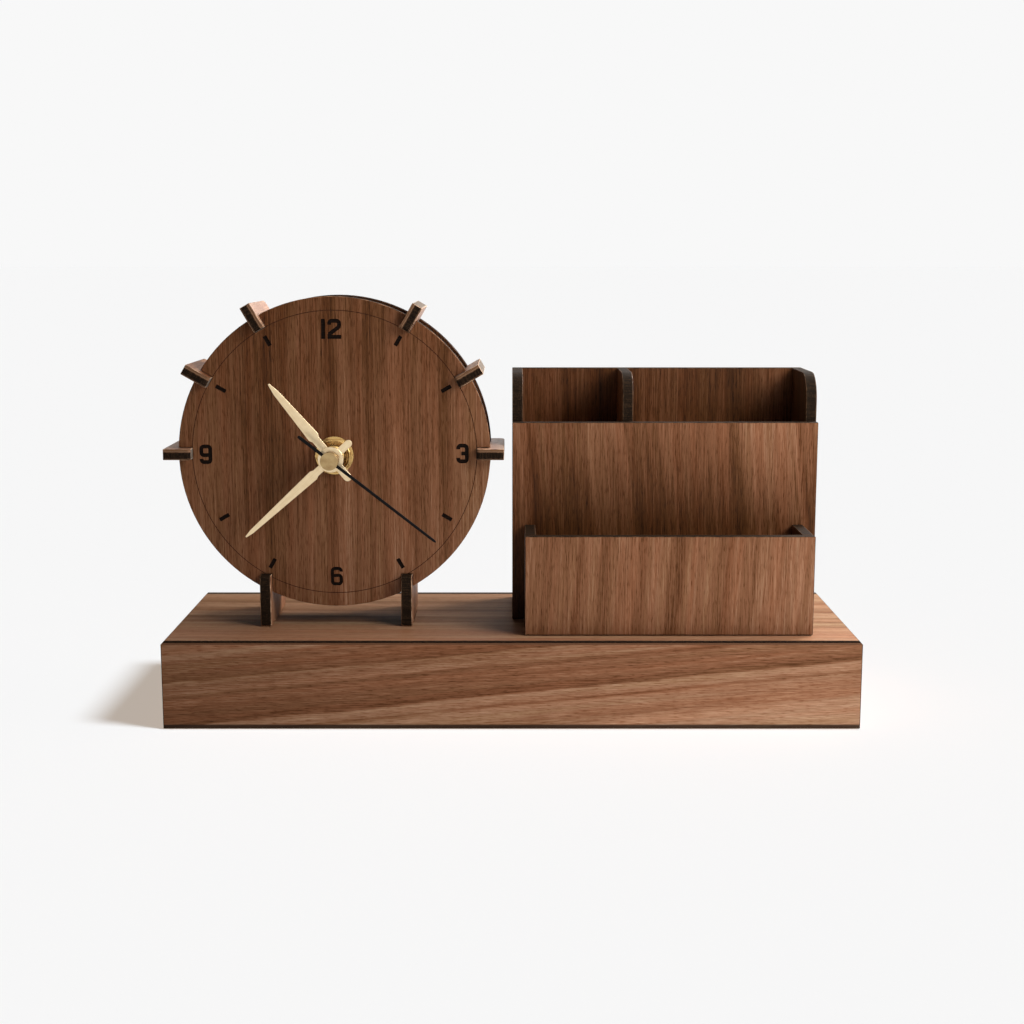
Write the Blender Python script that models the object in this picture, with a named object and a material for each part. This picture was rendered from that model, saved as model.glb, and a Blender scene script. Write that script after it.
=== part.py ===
"""Pen holder clock: a round clock and a pen and card holder, both standing on one low hollow base.

The boards are 4 mm thick and veneered. The clock is two discs joined by radial hour tabs and carried by two legs,
with a battery movement between the discs. Sizes are in millimetres and become metres in one place, mesh_of.
X runs to the right as the dial is read, Y away from the reader and Z up. The origin is under the middle of the
object, on the surface that it stands on.
"""

import math
from collections import namedtuple

import bmesh
import bpy
from mathutils import Vector

Blade = namedtuple("Blade", "tip point_width point tip_width shoulder shoulder_width neck_width tail")
Finish = namedtuple("Finish", "colour roughness metallic")

MM = 0.001

BOARD = 4.0
GAP = 0.3
SLOT_PLAY = 0.2
HARDWARE_GAP = 0.1
# How far a cut runs past the face that it opens, and how far two fused solids reach into each other
THROUGH = 1.0
OVERLAP = 0.1
ROUND_STEPS = 24
FINE_STEPS = 36

# Base
BASE_WIDTH = 250.0
BASE_DEPTH = 84.0
BASE_TOP = 32.4
BASE_CENTRE_X = 0.9
BASE_CHAMFER = 1.25
CORNER_CHAMFER = 0.3
MITRE_SEAM = 0.15
FOOT_RISE = 0.3
FOOT_HEIGHT = 1.3
FOOT_RADIUS = 4.5
FOOT_INSET = 13.0

# Clock body
CLOCK_X = -63.9
CLOCK_Z = 96.4
SHAFT_DROP = 0.7
DISC_RADIUS = 57.0
DISC_STEPS = 120
DIAL_FRONT = -15.2
DIAL_REAR = DIAL_FRONT + BOARD
BACK_DISC_FRONT = 5.2
BACK_DISC_REAR = BACK_DISC_FRONT + BOARD
TAB_FRONT = -19.2
TAB_DEPTH = 36.0
TAB_REAR = TAB_FRONT + TAB_DEPTH
TAB_MIDDLE = (TAB_FRONT + TAB_REAR) / 2
TAB_INNER_RADIUS = 52.0
TAB_OUTER_RADIUS = 62.0
TAB_REAR_ROUND = 2.5
TAB_FRONT_ROUND = 1.2
TAB_HOURS = (1, 2, 3, 9, 10, 11)
LEG_OFFSET = 26.0
LEG_TOP = 51.3
LEG_ROUND = 0.8
TENON_DEPTH = 16.0
ACCESS_SIDE = 58.0
ACCESS_ROUND = 4.0

# Pen holder and card tray
HOLDER_LEFT = 1.1
HOLDER_WIDTH = 113.2
HOLDER_FRONT = -7.5
HOLDER_FRONT_TOP = 106.9
HOLDER_TOP = 124.6
HOLDER_INNER_DEPTH = 31.5
HOLDER_ROUND = 10.0
HOLDER_ROUND_STEPS = 8
DIVIDER_X = 44.1
TRAY_LEFT = 5.7
TRAY_WIDTH = 103.8
TRAY_FRONT = -33.7
TRAY_TOP = 68.7

# Movement case, placed about the hands' shaft
CASE_SIDE = 56.0
CASE_ROUND = 3.0
CASE_FRONT = -10.3
CASE_REAR = 4.7
CASE_WALL = 1.2
CASE_FLOOR = CASE_FRONT + CASE_WALL
PARTITION_LOW = -11.6
PARTITION_HIGH = PARTITION_LOW + CASE_WALL
PARTITION_ROUND = 1.0
WALL_ROUND = 2.0
COVER_FRONT = CASE_REAR - CASE_WALL
POST_RADIUS = 1.0
POST_ROOT = 0.6

# Bush, washers and nut
BUSH_RADIUS = 3.9
BUSH_BORE = 2.59
BUSH_FRONT = -23.7
HARDWARE_BORE = BUSH_RADIUS + 0.2
RUBBER_WASHER_RADIUS = 8.0
BRASS_WASHER_RADIUS = 7.0
BRASS_WASHER_THICKNESS = 0.6
BRASS_WASHER_STEPS = 48
NUT_ACROSS_FLATS = 12.0
NUT_THICKNESS = 2.3

# Battery and its contacts, placed about the hands' shaft
BATTERY_RADIUS = 7.15
BATTERY_LENGTH = 49.2
BATTERY_NUB_RADIUS = 2.75
BATTERY_NUB_LENGTH = 1.1
BATTERY_STEPS = 32
BATTERY_Y = -1.85
BATTERY_V = -19.2
CONTACT_THICKNESS = 0.3
CONTACT_WIDTH = 9.0
SPRING_WIDTH = 6.0
SPRING_PEAK_THICKNESS = 0.39

# Motor and circuit board, placed about the hands' shaft
STATOR_FRONT = -1.2
STATOR_THICKNESS = 0.8
STATOR_HALF_WIDTH = 14.0
STATOR_ARM_WIDTH = 3.5
STATOR_RIM = 4.0
STATOR_POST_X = 11.0
ROTOR_HOLE = 2.8
COIL_V = 21.5
COIL_RADIUS = 2.8
COIL_FLANGE_RADIUS = 3.1
COIL_FLANGE_HALF_THICKNESS = 0.4
COIL_HALF_LENGTH = 9.5
CORE_HALF_HEIGHT = 1.3
CORE_THICKNESS = 1.0
CORE_MARGIN = 2.0
CIRCUIT_X = -21.0
CIRCUIT_HALF_WIDTH = 5.0
CIRCUIT_FRONT = 0.6
CIRCUIT_THICKNESS = 1.0
CIRCUIT_LOW = -8.5
CIRCUIT_HIGH = 18.0
CIRCUIT_POST_V = (-5.0, 15.0)
CRYSTAL_RADIUS = 1.0
CRYSTAL_HALF_LENGTH = 3.0
CRYSTAL_V = 6.0
CRYSTAL_STEPS = 16

# Gear train: tooth numbers and modules of each meshing pair
ROTOR_PINION_TEETH = 6
FIFTH_WHEEL_TEETH = 60
ROTOR_MODULE = 0.16
FIFTH_PINION_TEETH = 10
SECONDS_WHEEL_TEETH = 30
SECONDS_MODULE = 0.36
SECONDS_PINION_TEETH = 8
THIRD_WHEEL_TEETH = 60
THIRD_PINION_TEETH = 8
CENTRE_WHEEL_TEETH = 64
CENTRE_MODULE = 0.2
CANNON_PINION_TEETH = 12
MINUTE_WHEEL_TEETH = 36
SETTING_PINION_TEETH = 12
MINUTE_MODULE = 0.25
MINUTE_PINION_TEETH = 10
HOUR_WHEEL_TEETH = 40
HOUR_MODULE = 0.24

# Tooth shape, as parts of the module and of the tooth pitch
ADDENDUM = 0.85
DEDENDUM = 1.15
ROOT_HALF_WIDTH = 0.27
TIP_HALF_WIDTH = 0.12

# Front and rear of each wheel, pinion and hub
ROTOR_PINION_LAYER = (-2.6, -1.7)
ROTOR_MAGNET_LAYER = (-1.5, 0.7)
FIFTH_WHEEL_LAYER = (-2.4, -1.9)
FIFTH_PINION_LAYER = (-3.9, -2.9)
SECONDS_WHEEL_LAYER = (-3.7, -3.1)
SECONDS_PINION_LAYER = (-5.3, -4.4)
THIRD_WHEEL_LAYER = (-5.1, -4.6)
THIRD_PINION_LAYER = (-6.6, -5.7)
CENTRE_WHEEL_LAYER = (-6.4, -5.9)
CENTRE_HUB_LAYER = (-6.6, -5.7)
CANNON_PINION_LAYER = (-8.0, -6.95)
MINUTE_SEAT_LAYER = (-7.5, -5.6)
MINUTE_WHEEL_LAYER = (-7.7, -7.1)
MINUTE_PINION_LAYER = (-8.95, -7.4)
HOUR_WHEEL_LAYER = (-8.9, -8.1)
SETTING_PINION_LAYER = (-7.85, -6.95)

# Centre distances that the tooth numbers give
FIFTH_DISTANCE = SECONDS_MODULE * (FIFTH_PINION_TEETH + SECONDS_WHEEL_TEETH) / 2
ROTOR_DISTANCE = ROTOR_MODULE * (ROTOR_PINION_TEETH + FIFTH_WHEEL_TEETH) / 2
THIRD_DISTANCE = CENTRE_MODULE * (THIRD_PINION_TEETH + CENTRE_WHEEL_TEETH) / 2
THIRD_MODULE = 2 * THIRD_DISTANCE / (SECONDS_PINION_TEETH + THIRD_WHEEL_TEETH)
MINUTE_DISTANCE = MINUTE_MODULE * (CANNON_PINION_TEETH + MINUTE_WHEEL_TEETH) / 2
KNOB_DISTANCE = MINUTE_MODULE * (SETTING_PINION_TEETH + MINUTE_WHEEL_TEETH) / 2

# Directions of those centres, anticlockwise from the right as the dial is read
UP = math.radians(90)
LEFT = math.radians(180)
RIGHT = 0.0

# Centres about the hands' shaft, of the discs and of the wheels
CENTRE = (0.0, 0.0)
DISC_CENTRE = (0.0, SHAFT_DROP)
FIFTH_CENTRE = (0.0, FIFTH_DISTANCE)
ROTOR_CENTRE = (0.0, FIFTH_DISTANCE + ROTOR_DISTANCE)
THIRD_CENTRE = (-THIRD_DISTANCE, 0.0)
MINUTE_WHEEL_CENTRE = (MINUTE_DISTANCE, 0.0)
KNOB_CENTRE = (MINUTE_DISTANCE + KNOB_DISTANCE, 0.0)

# Shafts, and the holes that they run in
PIVOT_RADIUS = 0.25
PIVOT_HOLE = 0.33
PIVOT_STEPS = 12
PIVOT_LAYER = (-9.7, 4.1)
PIVOT_HOLE_FRONT = -9.9
PIVOT_HOLE_REAR = 4.3
ROTOR_MAGNET_RADIUS = 2.5
SECONDS_ARBOR_RADIUS = 0.45
SECONDS_ARBOR_HOLE = 0.53
CENTRE_HUB_RADIUS = 2.2
MINUTE_ARBOR_RADIUS = 1.5
MINUTE_ARBOR_PROUD = 0.8
MINUTE_ARBOR_REAR = -7.85
MINUTE_ARBOR_SEAT = 1.2
MINUTE_SEAT_HOLE = 1.29
MINUTE_POST_RADIUS = 0.45
MINUTE_POST_HOLE = 0.53
MINUTE_POST_END = -6.75
HOUR_PIPE_RADIUS = 2.5
HOUR_PIPE_BORE = 1.58
HOUR_PIPE_PROUD = 0.5
HOUR_PIPE_REAR = -8.5

# Setting knob
KNOB_ARBOR_RADIUS = 1.0
KNOB_ARBOR_HOLE = 1.08
KNOB_ARBOR_FRONT = -8.9
KNOB_PIVOT_RADIUS = 0.6
KNOB_PIVOT_HOLE = 0.68
KNOB_PIVOT_REAR = -8.0
KNOB_RADIUS = 4.5
KNOB_THICKNESS = 3.0
KNOB_RIDGES = 16
KNOB_RIDGE_DEPTH = 0.35

# Hands: angle at rest clockwise from twelve, blade measured from the pivot, and the fit on each shaft
HOUR_ANGLE = math.radians(320.45)
MINUTE_ANGLE = math.radians(227.9)
SECOND_ANGLE = math.radians(128.15)
HOUR_BLADE = Blade(
    tip=34.8, point_width=0.7, point=4.2, tip_width=2.15,
    shoulder=10.0, shoulder_width=4.3, neck_width=3.0, tail=10.3,
)
MINUTE_BLADE = Blade(
    tip=41.9, point_width=0.65, point=3.0, tip_width=1.55,
    shoulder=8.4, shoulder_width=3.7, neck_width=2.7, tail=10.0,
)
SECOND_BLADE = Blade(
    tip=47.8, point_width=0.6, point=1.0, tip_width=0.95,
    shoulder=4.0, shoulder_width=1.15, neck_width=1.2, tail=14.2,
)
SHOULDER_SLOPE = 1.2
BLADE_STEPS = 8
HAND_THICKNESS = 0.5
HOUR_HAND_FRONT = -24.9
HOUR_HUB_RADIUS = 3.9
HOUR_HAND_FIT = 0.13
MINUTE_HAND_FRONT = -28.3
COLLAR_RADIUS = 4.6
COLLAR_PROUD = 0.2
MINUTE_HAND_FIT = 0.12
SECOND_HAND_FRONT = -31.1
SECOND_HAND_THICKNESS = 0.3
SECOND_HUB_RADIUS = 2.0
SECOND_TUBE_RADIUS = 0.95
SECOND_TUBE_LENGTH = 0.9
CAP_FRONT = -33.4
CAP_DEPTH = 3.3
CAP_RADIUS = 3.2
CAP_INNER_RADIUS = 2.5
CAP_SLOT_HALF_WIDTH = 1.0

ROUND_PIECE_ANGLE = math.radians(35)

WALNUT = Finish((0.17, 0.075, 0.04), 0.55, 0.0)
BRASS = Finish((0.62, 0.45, 0.22), 0.32, 1.0)
STEEL = Finish((0.55, 0.55, 0.56), 0.3, 1.0)
BLACK_METAL = Finish((0.01, 0.009, 0.008), 0.4, 0.0)
BLACK_PLASTIC = Finish((0.02, 0.02, 0.022), 0.5, 0.0)
WHITE_PLASTIC = Finish((0.75, 0.74, 0.7), 0.45, 0.0)
RUBBER = Finish((0.03, 0.03, 0.03), 0.85, 0.0)
COPPER = Finish((0.55, 0.2, 0.1), 0.35, 1.0)
BOARD_GREEN = Finish((0.03, 0.14, 0.06), 0.5, 0.0)
CELL_GREY = Finish((0.2, 0.21, 0.23), 0.35, 0.0)


def clear_scene():
    """Removes every object of the startup scene."""
    for obj in list(bpy.data.objects):
        bpy.data.objects.remove(obj)


def material_for(name, finish):
    """The sub-part's own Principled material from its finish."""
    material = bpy.data.materials.new(name)
    material.use_nodes = True
    shader = material.node_tree.nodes["Principled BSDF"]
    shader.inputs["Base Color"].default_value = (*finish.colour, 1.0)
    shader.inputs["Roughness"].default_value = finish.roughness
    shader.inputs["Metallic"].default_value = finish.metallic
    return material


def mesh_of(form):
    """A mesh in metres from a bmesh in millimetres, with its faces pointing out."""
    bmesh.ops.recalc_face_normals(form, faces=form.faces)
    bmesh.ops.scale(form, vec=Vector((MM, MM, MM)), verts=form.verts)
    mesh = bpy.data.meshes.new("form")
    form.to_mesh(mesh)
    form.free()
    return mesh


def prism_form(outline, low, high, axis):
    """A straight solid of this cross-section as a bmesh in millimetres, from low to high along the axis.

    The outline's pairs are X and Z for axis Y, Y and Z for axis X, and X and Y for axis Z.
    """
    place = {
        "X": lambda point, along: (along, point[0], point[1]),
        "Y": lambda point, along: (point[0], along, point[1]),
        "Z": lambda point, along: (point[0], point[1], along),
    }[axis]
    form = bmesh.new()
    near = [form.verts.new(place(point, low)) for point in outline]
    far = [form.verts.new(place(point, high)) for point in outline]
    form.faces.new(near)
    form.faces.new(far)
    for i in range(len(outline)):
        j = (i + 1) % len(outline)
        form.faces.new((near[i], near[j], far[j], far[i]))
    return form


def prism(outline, low, high, axis="Y"):
    """The mesh of a straight solid of this cross-section."""
    return mesh_of(prism_form(outline, low, high, axis))


def box(low, high):
    """The mesh of a box between two corners."""
    return prism(rectangle(low[0], high[0], low[1], high[1]), low[2], high[2], "Z")


def rectangle(left, right, low, high):
    """The four corners of a rectangle."""
    return [(left, low), (right, low), (right, high), (left, high)]


def arc(centre, radius, start, end, steps):
    """Points on an arc, with both of its ends, by angle in degrees."""
    angles = [math.radians(start + (end - start) * i / steps) for i in range(steps + 1)]
    return [(centre[0] + radius * math.cos(a), centre[1] + radius * math.sin(a)) for a in angles]


def circle(radius, centre=CENTRE, steps=ROUND_STEPS):
    """The points of a round outline."""
    return arc(centre, radius, 0, 360, steps)[:-1]


def rounded(left, right, low, high, radii, steps=5):
    """A rectangle with rounded corners, whose radii run anticlockwise from the low left one. Zero stays sharp."""
    corners = rectangle(left, right, low, high)
    inward = [(1, 1), (-1, 1), (-1, -1), (1, -1)]
    points = []
    for i, (corner, side, radius) in enumerate(zip(corners, inward, radii)):
        if radius == 0:
            points.append(corner)
            continue
        centre = (corner[0] + side[0] * radius, corner[1] + side[1] * radius)
        points += arc(centre, radius, 180 + 90 * i, 270 + 90 * i, steps)
    return points


def gear(teeth, module, phase):
    """A toothed outline whose first tooth stands at the phase, with straight flanks and some backlash."""
    pitch_radius = teeth * module / 2
    root = pitch_radius - DEDENDUM * module
    tip = pitch_radius + ADDENDUM * module
    step = math.tau / teeth
    flank = ((-ROOT_HALF_WIDTH, root), (-TIP_HALF_WIDTH, tip), (TIP_HALF_WIDTH, tip), (ROOT_HALF_WIDTH, root))
    points = []
    for tooth in range(teeth):
        for offset, radius in flank:
            angle = phase + (tooth + offset) * step
            points.append((radius * math.cos(angle), radius * math.sin(angle)))
    return points


def meshed_phase(teeth, driver_teeth, direction, driver_phase=0.0):
    """The phase that puts a gap of this wheel on the tooth of its driver, which lies opposite the direction."""
    half_tooth = math.pi / teeth
    return direction + math.pi + half_tooth - (driver_phase - direction) * driver_teeth / teeth


def arbor(radius, layer, steps=PIVOT_STEPS):
    """A plain round shaft about the piece's own centre, from the front of the layer to its rear."""
    return prism(circle(radius, steps=steps), *layer)


def bore(radius, layer, steps=PIVOT_STEPS):
    """The cut for a round hole that goes right through the layer."""
    return arbor(radius, (layer[0] - THROUGH, layer[1] + THROUGH), steps)


def loose_object(mesh):
    """An object that carries a mesh for a Boolean, and is removed after it."""
    obj = bpy.data.objects.new("tool", mesh)
    bpy.context.collection.objects.link(obj)
    return obj


def shaped(meshes, cuts):
    """One mesh: the meshes fused together, less the cuts."""
    body = loose_object(meshes[0])
    tools = []
    for mesh, operation in [(m, "UNION") for m in meshes[1:]] + [(m, "DIFFERENCE") for m in cuts]:
        tool = loose_object(mesh)
        change = body.modifiers.new("shape", "BOOLEAN")
        change.operation = operation
        change.solver = "EXACT"
        change.object = tool
        tools.append(tool)
    graph = bpy.context.evaluated_depsgraph_get()
    result = bpy.data.meshes.new_from_object(body.evaluated_get(graph))
    for obj in [body, *tools]:
        used = obj.data
        bpy.data.objects.remove(obj)
        bpy.data.meshes.remove(used)
    return result


def part(name, finish, meshes, cuts=(), at=(0, 0, 0), turn=0.0):
    """A named sub-part with its material, placed at a point and turned clockwise as the dial is read."""
    mesh = shaped(list(meshes), list(cuts)) if len(meshes) > 1 or cuts else meshes[0]
    mesh.name = name
    mesh.shade_smooth()
    mesh.set_sharp_from_angle(angle=ROUND_PIECE_ANGLE)
    mesh.materials.clear()
    mesh.materials.append(material_for(name, finish))
    obj = bpy.data.objects.new(name, mesh)
    obj.location = Vector(at) * MM
    obj.rotation_euler = (0, turn, 0)
    bpy.context.collection.objects.link(obj)
    return obj


def clock_part(name, finish, meshes, cuts=(), centre=CENTRE, turn=0.0):
    """A sub-part of the clock, placed by its centre's distance from the hands' shaft."""
    at = (CLOCK_X + centre[0], 0, CLOCK_Z - SHAFT_DROP + centre[1])
    return part(name, finish, meshes, cuts, at, turn)


def make_base_panels():
    """Five mitred panels: the outer block cut along its mitres, its chamfers and its inner faces."""
    left = BASE_CENTRE_X - BASE_WIDTH / 2
    right = BASE_CENTRE_X + BASE_WIDTH / 2
    front, back = -BASE_DEPTH / 2, BASE_DEPTH / 2
    outward = {
        "left": Vector((-1, 0, 0)),
        "right": Vector((1, 0, 0)),
        "front": Vector((0, -1, 0)),
        "back": Vector((0, 1, 0)),
        "top": Vector((0, 0, 1)),
    }
    low_corner = Vector((left, front, FOOT_RISE))
    high_corner = Vector((right, back, BASE_TOP))
    on_face = {"left": low_corner, "front": low_corner}
    on_face |= {"right": high_corner, "back": high_corner, "top": high_corner}
    for face, normal in outward.items():
        form = prism_form(rectangle(left, right, front, back), FOOT_RISE, BASE_TOP, "Z")
        cut_away(form, on_face[face] - normal * BOARD, -normal)
        for other, side in outward.items():
            if not math.isclose(normal.dot(side), 0):
                continue
            edge = on_face[face].copy()
            edge += side * (on_face[other] - edge).dot(side)
            chamfer = BASE_CHAMFER if "top" in (face, other) else CORNER_CHAMFER
            cut_away(form, edge - side * MITRE_SEAM, side - normal)
            cut_away(form, edge - side * chamfer, side + normal)
        slots = leg_slots() if face == "top" else ()
        part(f"base_{face}", WALNUT, [mesh_of(form)], slots)


def cut_away(form, point, normal):
    """Removes what lies beyond the plane, and closes the cut with a face."""
    geometry = form.verts[:] + form.edges[:] + form.faces[:]
    result = bmesh.ops.bisect_plane(
        form, geom=geometry, plane_co=point, plane_no=normal.normalized(), clear_outer=True
    )
    edges = [item for item in result["geom_cut"] if isinstance(item, bmesh.types.BMEdge)]
    bmesh.ops.contextual_create(form, geom=edges)


def leg_slots():
    """The slots in the top of the base that take the tenons of the two legs."""
    half_length = TENON_DEPTH / 2 + SLOT_PLAY
    half_width = BOARD / 2 + SLOT_PLAY
    low, high = BASE_TOP - BOARD - THROUGH, BASE_TOP + THROUGH
    slots = []
    for side in (-1, 1):
        x = CLOCK_X + side * LEG_OFFSET
        near = (x - half_width, TAB_MIDDLE - half_length, low)
        far = (x + half_width, TAB_MIDDLE + half_length, high)
        slots.append(box(near, far))
    return slots


def make_base_bottom():
    """The recessed bottom board, and the four rubber feet in the recess."""
    half_x = BASE_WIDTH / 2 - BOARD - GAP
    half_y = BASE_DEPTH / 2 - BOARD - GAP
    low = FOOT_HEIGHT + GAP
    board = box((BASE_CENTRE_X - half_x, -half_y, low), (BASE_CENTRE_X + half_x, half_y, low + BOARD))
    part("base_bottom", WALNUT, [board])
    foot_x = BASE_WIDTH / 2 - FOOT_INSET
    foot_y = BASE_DEPTH / 2 - FOOT_INSET
    places = [(-foot_x, -foot_y), (foot_x, -foot_y), (-foot_x, foot_y), (foot_x, foot_y)]
    for number, (x, y) in enumerate(places, 1):
        foot = prism(circle(FOOT_RADIUS), 0, FOOT_HEIGHT, "Z")
        part(f"rubber_foot_{number}", RUBBER, [foot], at=(BASE_CENTRE_X + x, y, 0))


def disc_notches(front, rear):
    """What is cut from a disc: a notch for each hour tab, and a slot for each leg."""
    half = BOARD / 2 + SLOT_PLAY
    beyond = TAB_OUTER_RADIUS
    cuts = []
    for hour in TAB_HOURS:
        angle = math.radians(30 * hour)
        along = Vector((math.sin(angle), math.cos(angle)))
        across = Vector((along.y, -along.x))
        corners = rectangle(TAB_INNER_RADIUS - SLOT_PLAY, beyond, -half, half)
        outline = [tuple(along * r + across * side) for r, side in corners]
        cuts.append(prism(outline, front - THROUGH, rear + THROUGH))
    for side in (-1, 1):
        x = side * LEG_OFFSET
        slot = rectangle(x - half, x + half, -beyond, LEG_TOP + SLOT_PLAY - CLOCK_Z)
        cuts.append(prism(slot, front - THROUGH, rear + THROUGH))
    return cuts


def make_discs():
    """The dial, with its hole for the bush, and the back disc, with its access opening."""
    dial_layer = (DIAL_FRONT, DIAL_REAR)
    back_layer = (BACK_DISC_FRONT, BACK_DISC_REAR)
    shaft = (0.0, -SHAFT_DROP)
    bush_hole = prism(circle(BUSH_RADIUS + GAP, shaft), DIAL_FRONT - THROUGH, DIAL_REAR + THROUGH)
    dial = arbor(DISC_RADIUS, dial_layer, DISC_STEPS)
    clock_part("dial_disc", WALNUT, [dial], [*disc_notches(*dial_layer), bush_hole], DISC_CENTRE)
    half = ACCESS_SIDE / 2
    opening = rounded(-half, half, -half - SHAFT_DROP, half - SHAFT_DROP, [ACCESS_ROUND] * 4)
    access = prism(opening, BACK_DISC_FRONT - THROUGH, BACK_DISC_REAR + THROUGH)
    back = arbor(DISC_RADIUS, back_layer, DISC_STEPS)
    clock_part("back_disc", WALNUT, [back], [*disc_notches(*back_layer), access], DISC_CENTRE)


def make_hour_tabs():
    """Six radial plates that join the two discs, drawn upright and turned to their hours."""
    outline = rounded(
        TAB_FRONT, TAB_REAR, TAB_INNER_RADIUS, TAB_OUTER_RADIUS, [TAB_FRONT_ROUND, 0, TAB_REAR_ROUND, 0]
    )
    for hour in TAB_HOURS:
        tab = prism(outline, -BOARD / 2, BOARD / 2, "X")
        clock_part(f"hour_tab_{hour}", WALNUT, [tab], (), DISC_CENTRE, math.radians(30 * hour))


def make_legs():
    """Two upright plates under the discs, each with a tenon through the top of the base."""
    plate = rounded(TAB_FRONT, TAB_REAR, BASE_TOP + GAP, LEG_TOP, [0, 0, LEG_ROUND, LEG_ROUND])
    half = TENON_DEPTH / 2
    tenon = rectangle(TAB_MIDDLE - half, TAB_MIDDLE + half, BASE_TOP - BOARD, BASE_TOP + GAP + OVERLAP)
    for name, side in (("left_leg", -1), ("right_leg", 1)):
        meshes = [prism(outline, -BOARD / 2, BOARD / 2, "X") for outline in (plate, tenon)]
        part(name, WALNUT, meshes, at=(CLOCK_X + side * LEG_OFFSET, 0, 0))


def make_pen_holder():
    """The holder's front and back panel, with two sides and a divider between them."""
    right = HOLDER_LEFT + HOLDER_WIDTH
    low = BASE_TOP + GAP
    inner_front = HOLDER_FRONT + BOARD
    inner_back = inner_front + HOLDER_INNER_DEPTH
    front = box((HOLDER_LEFT, HOLDER_FRONT, low), (right, inner_front, HOLDER_FRONT_TOP))
    part("holder_front_panel", WALNUT, [front])
    back = box((HOLDER_LEFT, inner_back, low), (right, inner_back + BOARD, HOLDER_TOP))
    part("holder_back_panel", WALNUT, [back])
    corners = [0, 0, 0, HOLDER_ROUND]
    side = rounded(inner_front + GAP, inner_back - GAP, low, HOLDER_TOP, corners, HOLDER_ROUND_STEPS)
    places = {
        "holder_left_panel": HOLDER_LEFT,
        "holder_right_panel": right - BOARD,
        "holder_divider": DIVIDER_X - BOARD / 2,
    }
    for name, x in places.items():
        part(name, WALNUT, [prism(side, 0, BOARD, "X")], at=(x, 0, 0))


def make_card_tray():
    """The low tray in front of the holder: a front panel, and two sides behind it."""
    right = TRAY_LEFT + TRAY_WIDTH
    low = BASE_TOP + GAP
    inner_front = TRAY_FRONT + BOARD
    front = box((TRAY_LEFT, TRAY_FRONT, low), (right, inner_front, TRAY_TOP))
    part("tray_front_panel", WALNUT, [front])
    for name, x in (("tray_left_panel", TRAY_LEFT), ("tray_right_panel", right - BOARD)):
        side = box((0, inner_front + GAP, low), (BOARD, HOLDER_FRONT - GAP, TRAY_TOP))
        part(name, WALNUT, [side], at=(x, 0, 0))


def train_outline(play):
    """The outline of the case's gear room, above the partition, drawn in by the play."""
    inner = CASE_SIDE / 2 - CASE_WALL - play
    corners = [PARTITION_ROUND, PARTITION_ROUND, WALL_ROUND, WALL_ROUND]
    return rounded(-inner, inner, PARTITION_HIGH + play, inner, corners)


def make_case():
    """The movement's case: a square tray with a battery bay below, posts and blind bearing holes."""
    half = CASE_SIDE / 2
    inner = half - CASE_WALL
    shell = prism(rounded(-half, half, -half, half, [CASE_ROUND] * 4), CASE_FRONT, CASE_REAR)
    bay = rounded(-inner, inner, -inner, PARTITION_LOW, [WALL_ROUND, WALL_ROUND, PARTITION_ROUND, PARTITION_ROUND])
    cuts = [prism(outline, CASE_FLOOR, CASE_REAR + THROUGH) for outline in (train_outline(0), bay)]
    cuts.append(bore(BUSH_RADIUS + GAP, (CASE_FRONT, CASE_FLOOR), ROUND_STEPS))
    posts = [(MINUTE_WHEEL_CENTRE, MINUTE_POST_RADIUS, MINUTE_POST_END)]
    posts += [((x, ROTOR_CENTRE[1]), POST_RADIUS, STATOR_FRONT - GAP) for x in (-STATOR_POST_X, STATOR_POST_X)]
    posts += [((CIRCUIT_X, v), POST_RADIUS, CIRCUIT_FRONT - GAP) for v in CIRCUIT_POST_V]
    meshes = [shaped([shell], cuts)]
    for centre, radius, end in posts:
        meshes.append(prism(circle(radius, centre, PIVOT_STEPS), CASE_FLOOR - POST_ROOT, end))
    bearings = [(THIRD_CENTRE, PIVOT_HOLE), (FIFTH_CENTRE, PIVOT_HOLE), (ROTOR_CENTRE, PIVOT_HOLE)]
    bearings.append((KNOB_CENTRE, KNOB_PIVOT_HOLE))
    holes = []
    for centre, radius in bearings:
        holes.append(prism(circle(radius, centre, PIVOT_STEPS), PIVOT_HOLE_FRONT, CASE_FLOOR + THROUGH))
    clock_part("movement_case", BLACK_PLASTIC, meshes, holes)


def make_cover():
    """The cover over the gear train, with blind bearing holes and the hole for the setting knob's arbor."""
    plate = prism(train_outline(GAP), COVER_FRONT, CASE_REAR)
    bearings = [
        (THIRD_CENTRE, PIVOT_HOLE),
        (FIFTH_CENTRE, PIVOT_HOLE),
        (ROTOR_CENTRE, PIVOT_HOLE),
        (CENTRE, SECONDS_ARBOR_HOLE),
    ]
    holes = []
    for centre, radius in bearings:
        holes.append(prism(circle(radius, centre, PIVOT_STEPS), COVER_FRONT - THROUGH, PIVOT_HOLE_REAR))
    holes.append(prism(circle(KNOB_ARBOR_HOLE, KNOB_CENTRE), COVER_FRONT - THROUGH, CASE_REAR + THROUGH))
    clock_part("movement_back_cover", BLACK_PLASTIC, [plate], holes)


def ring(name, finish, outline, hole_radius, layer):
    """A flat piece with a round bore about the hands' shaft."""
    clock_part(name, finish, [prism(outline, *layer)], [bore(hole_radius, layer, ROUND_STEPS)])


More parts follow.
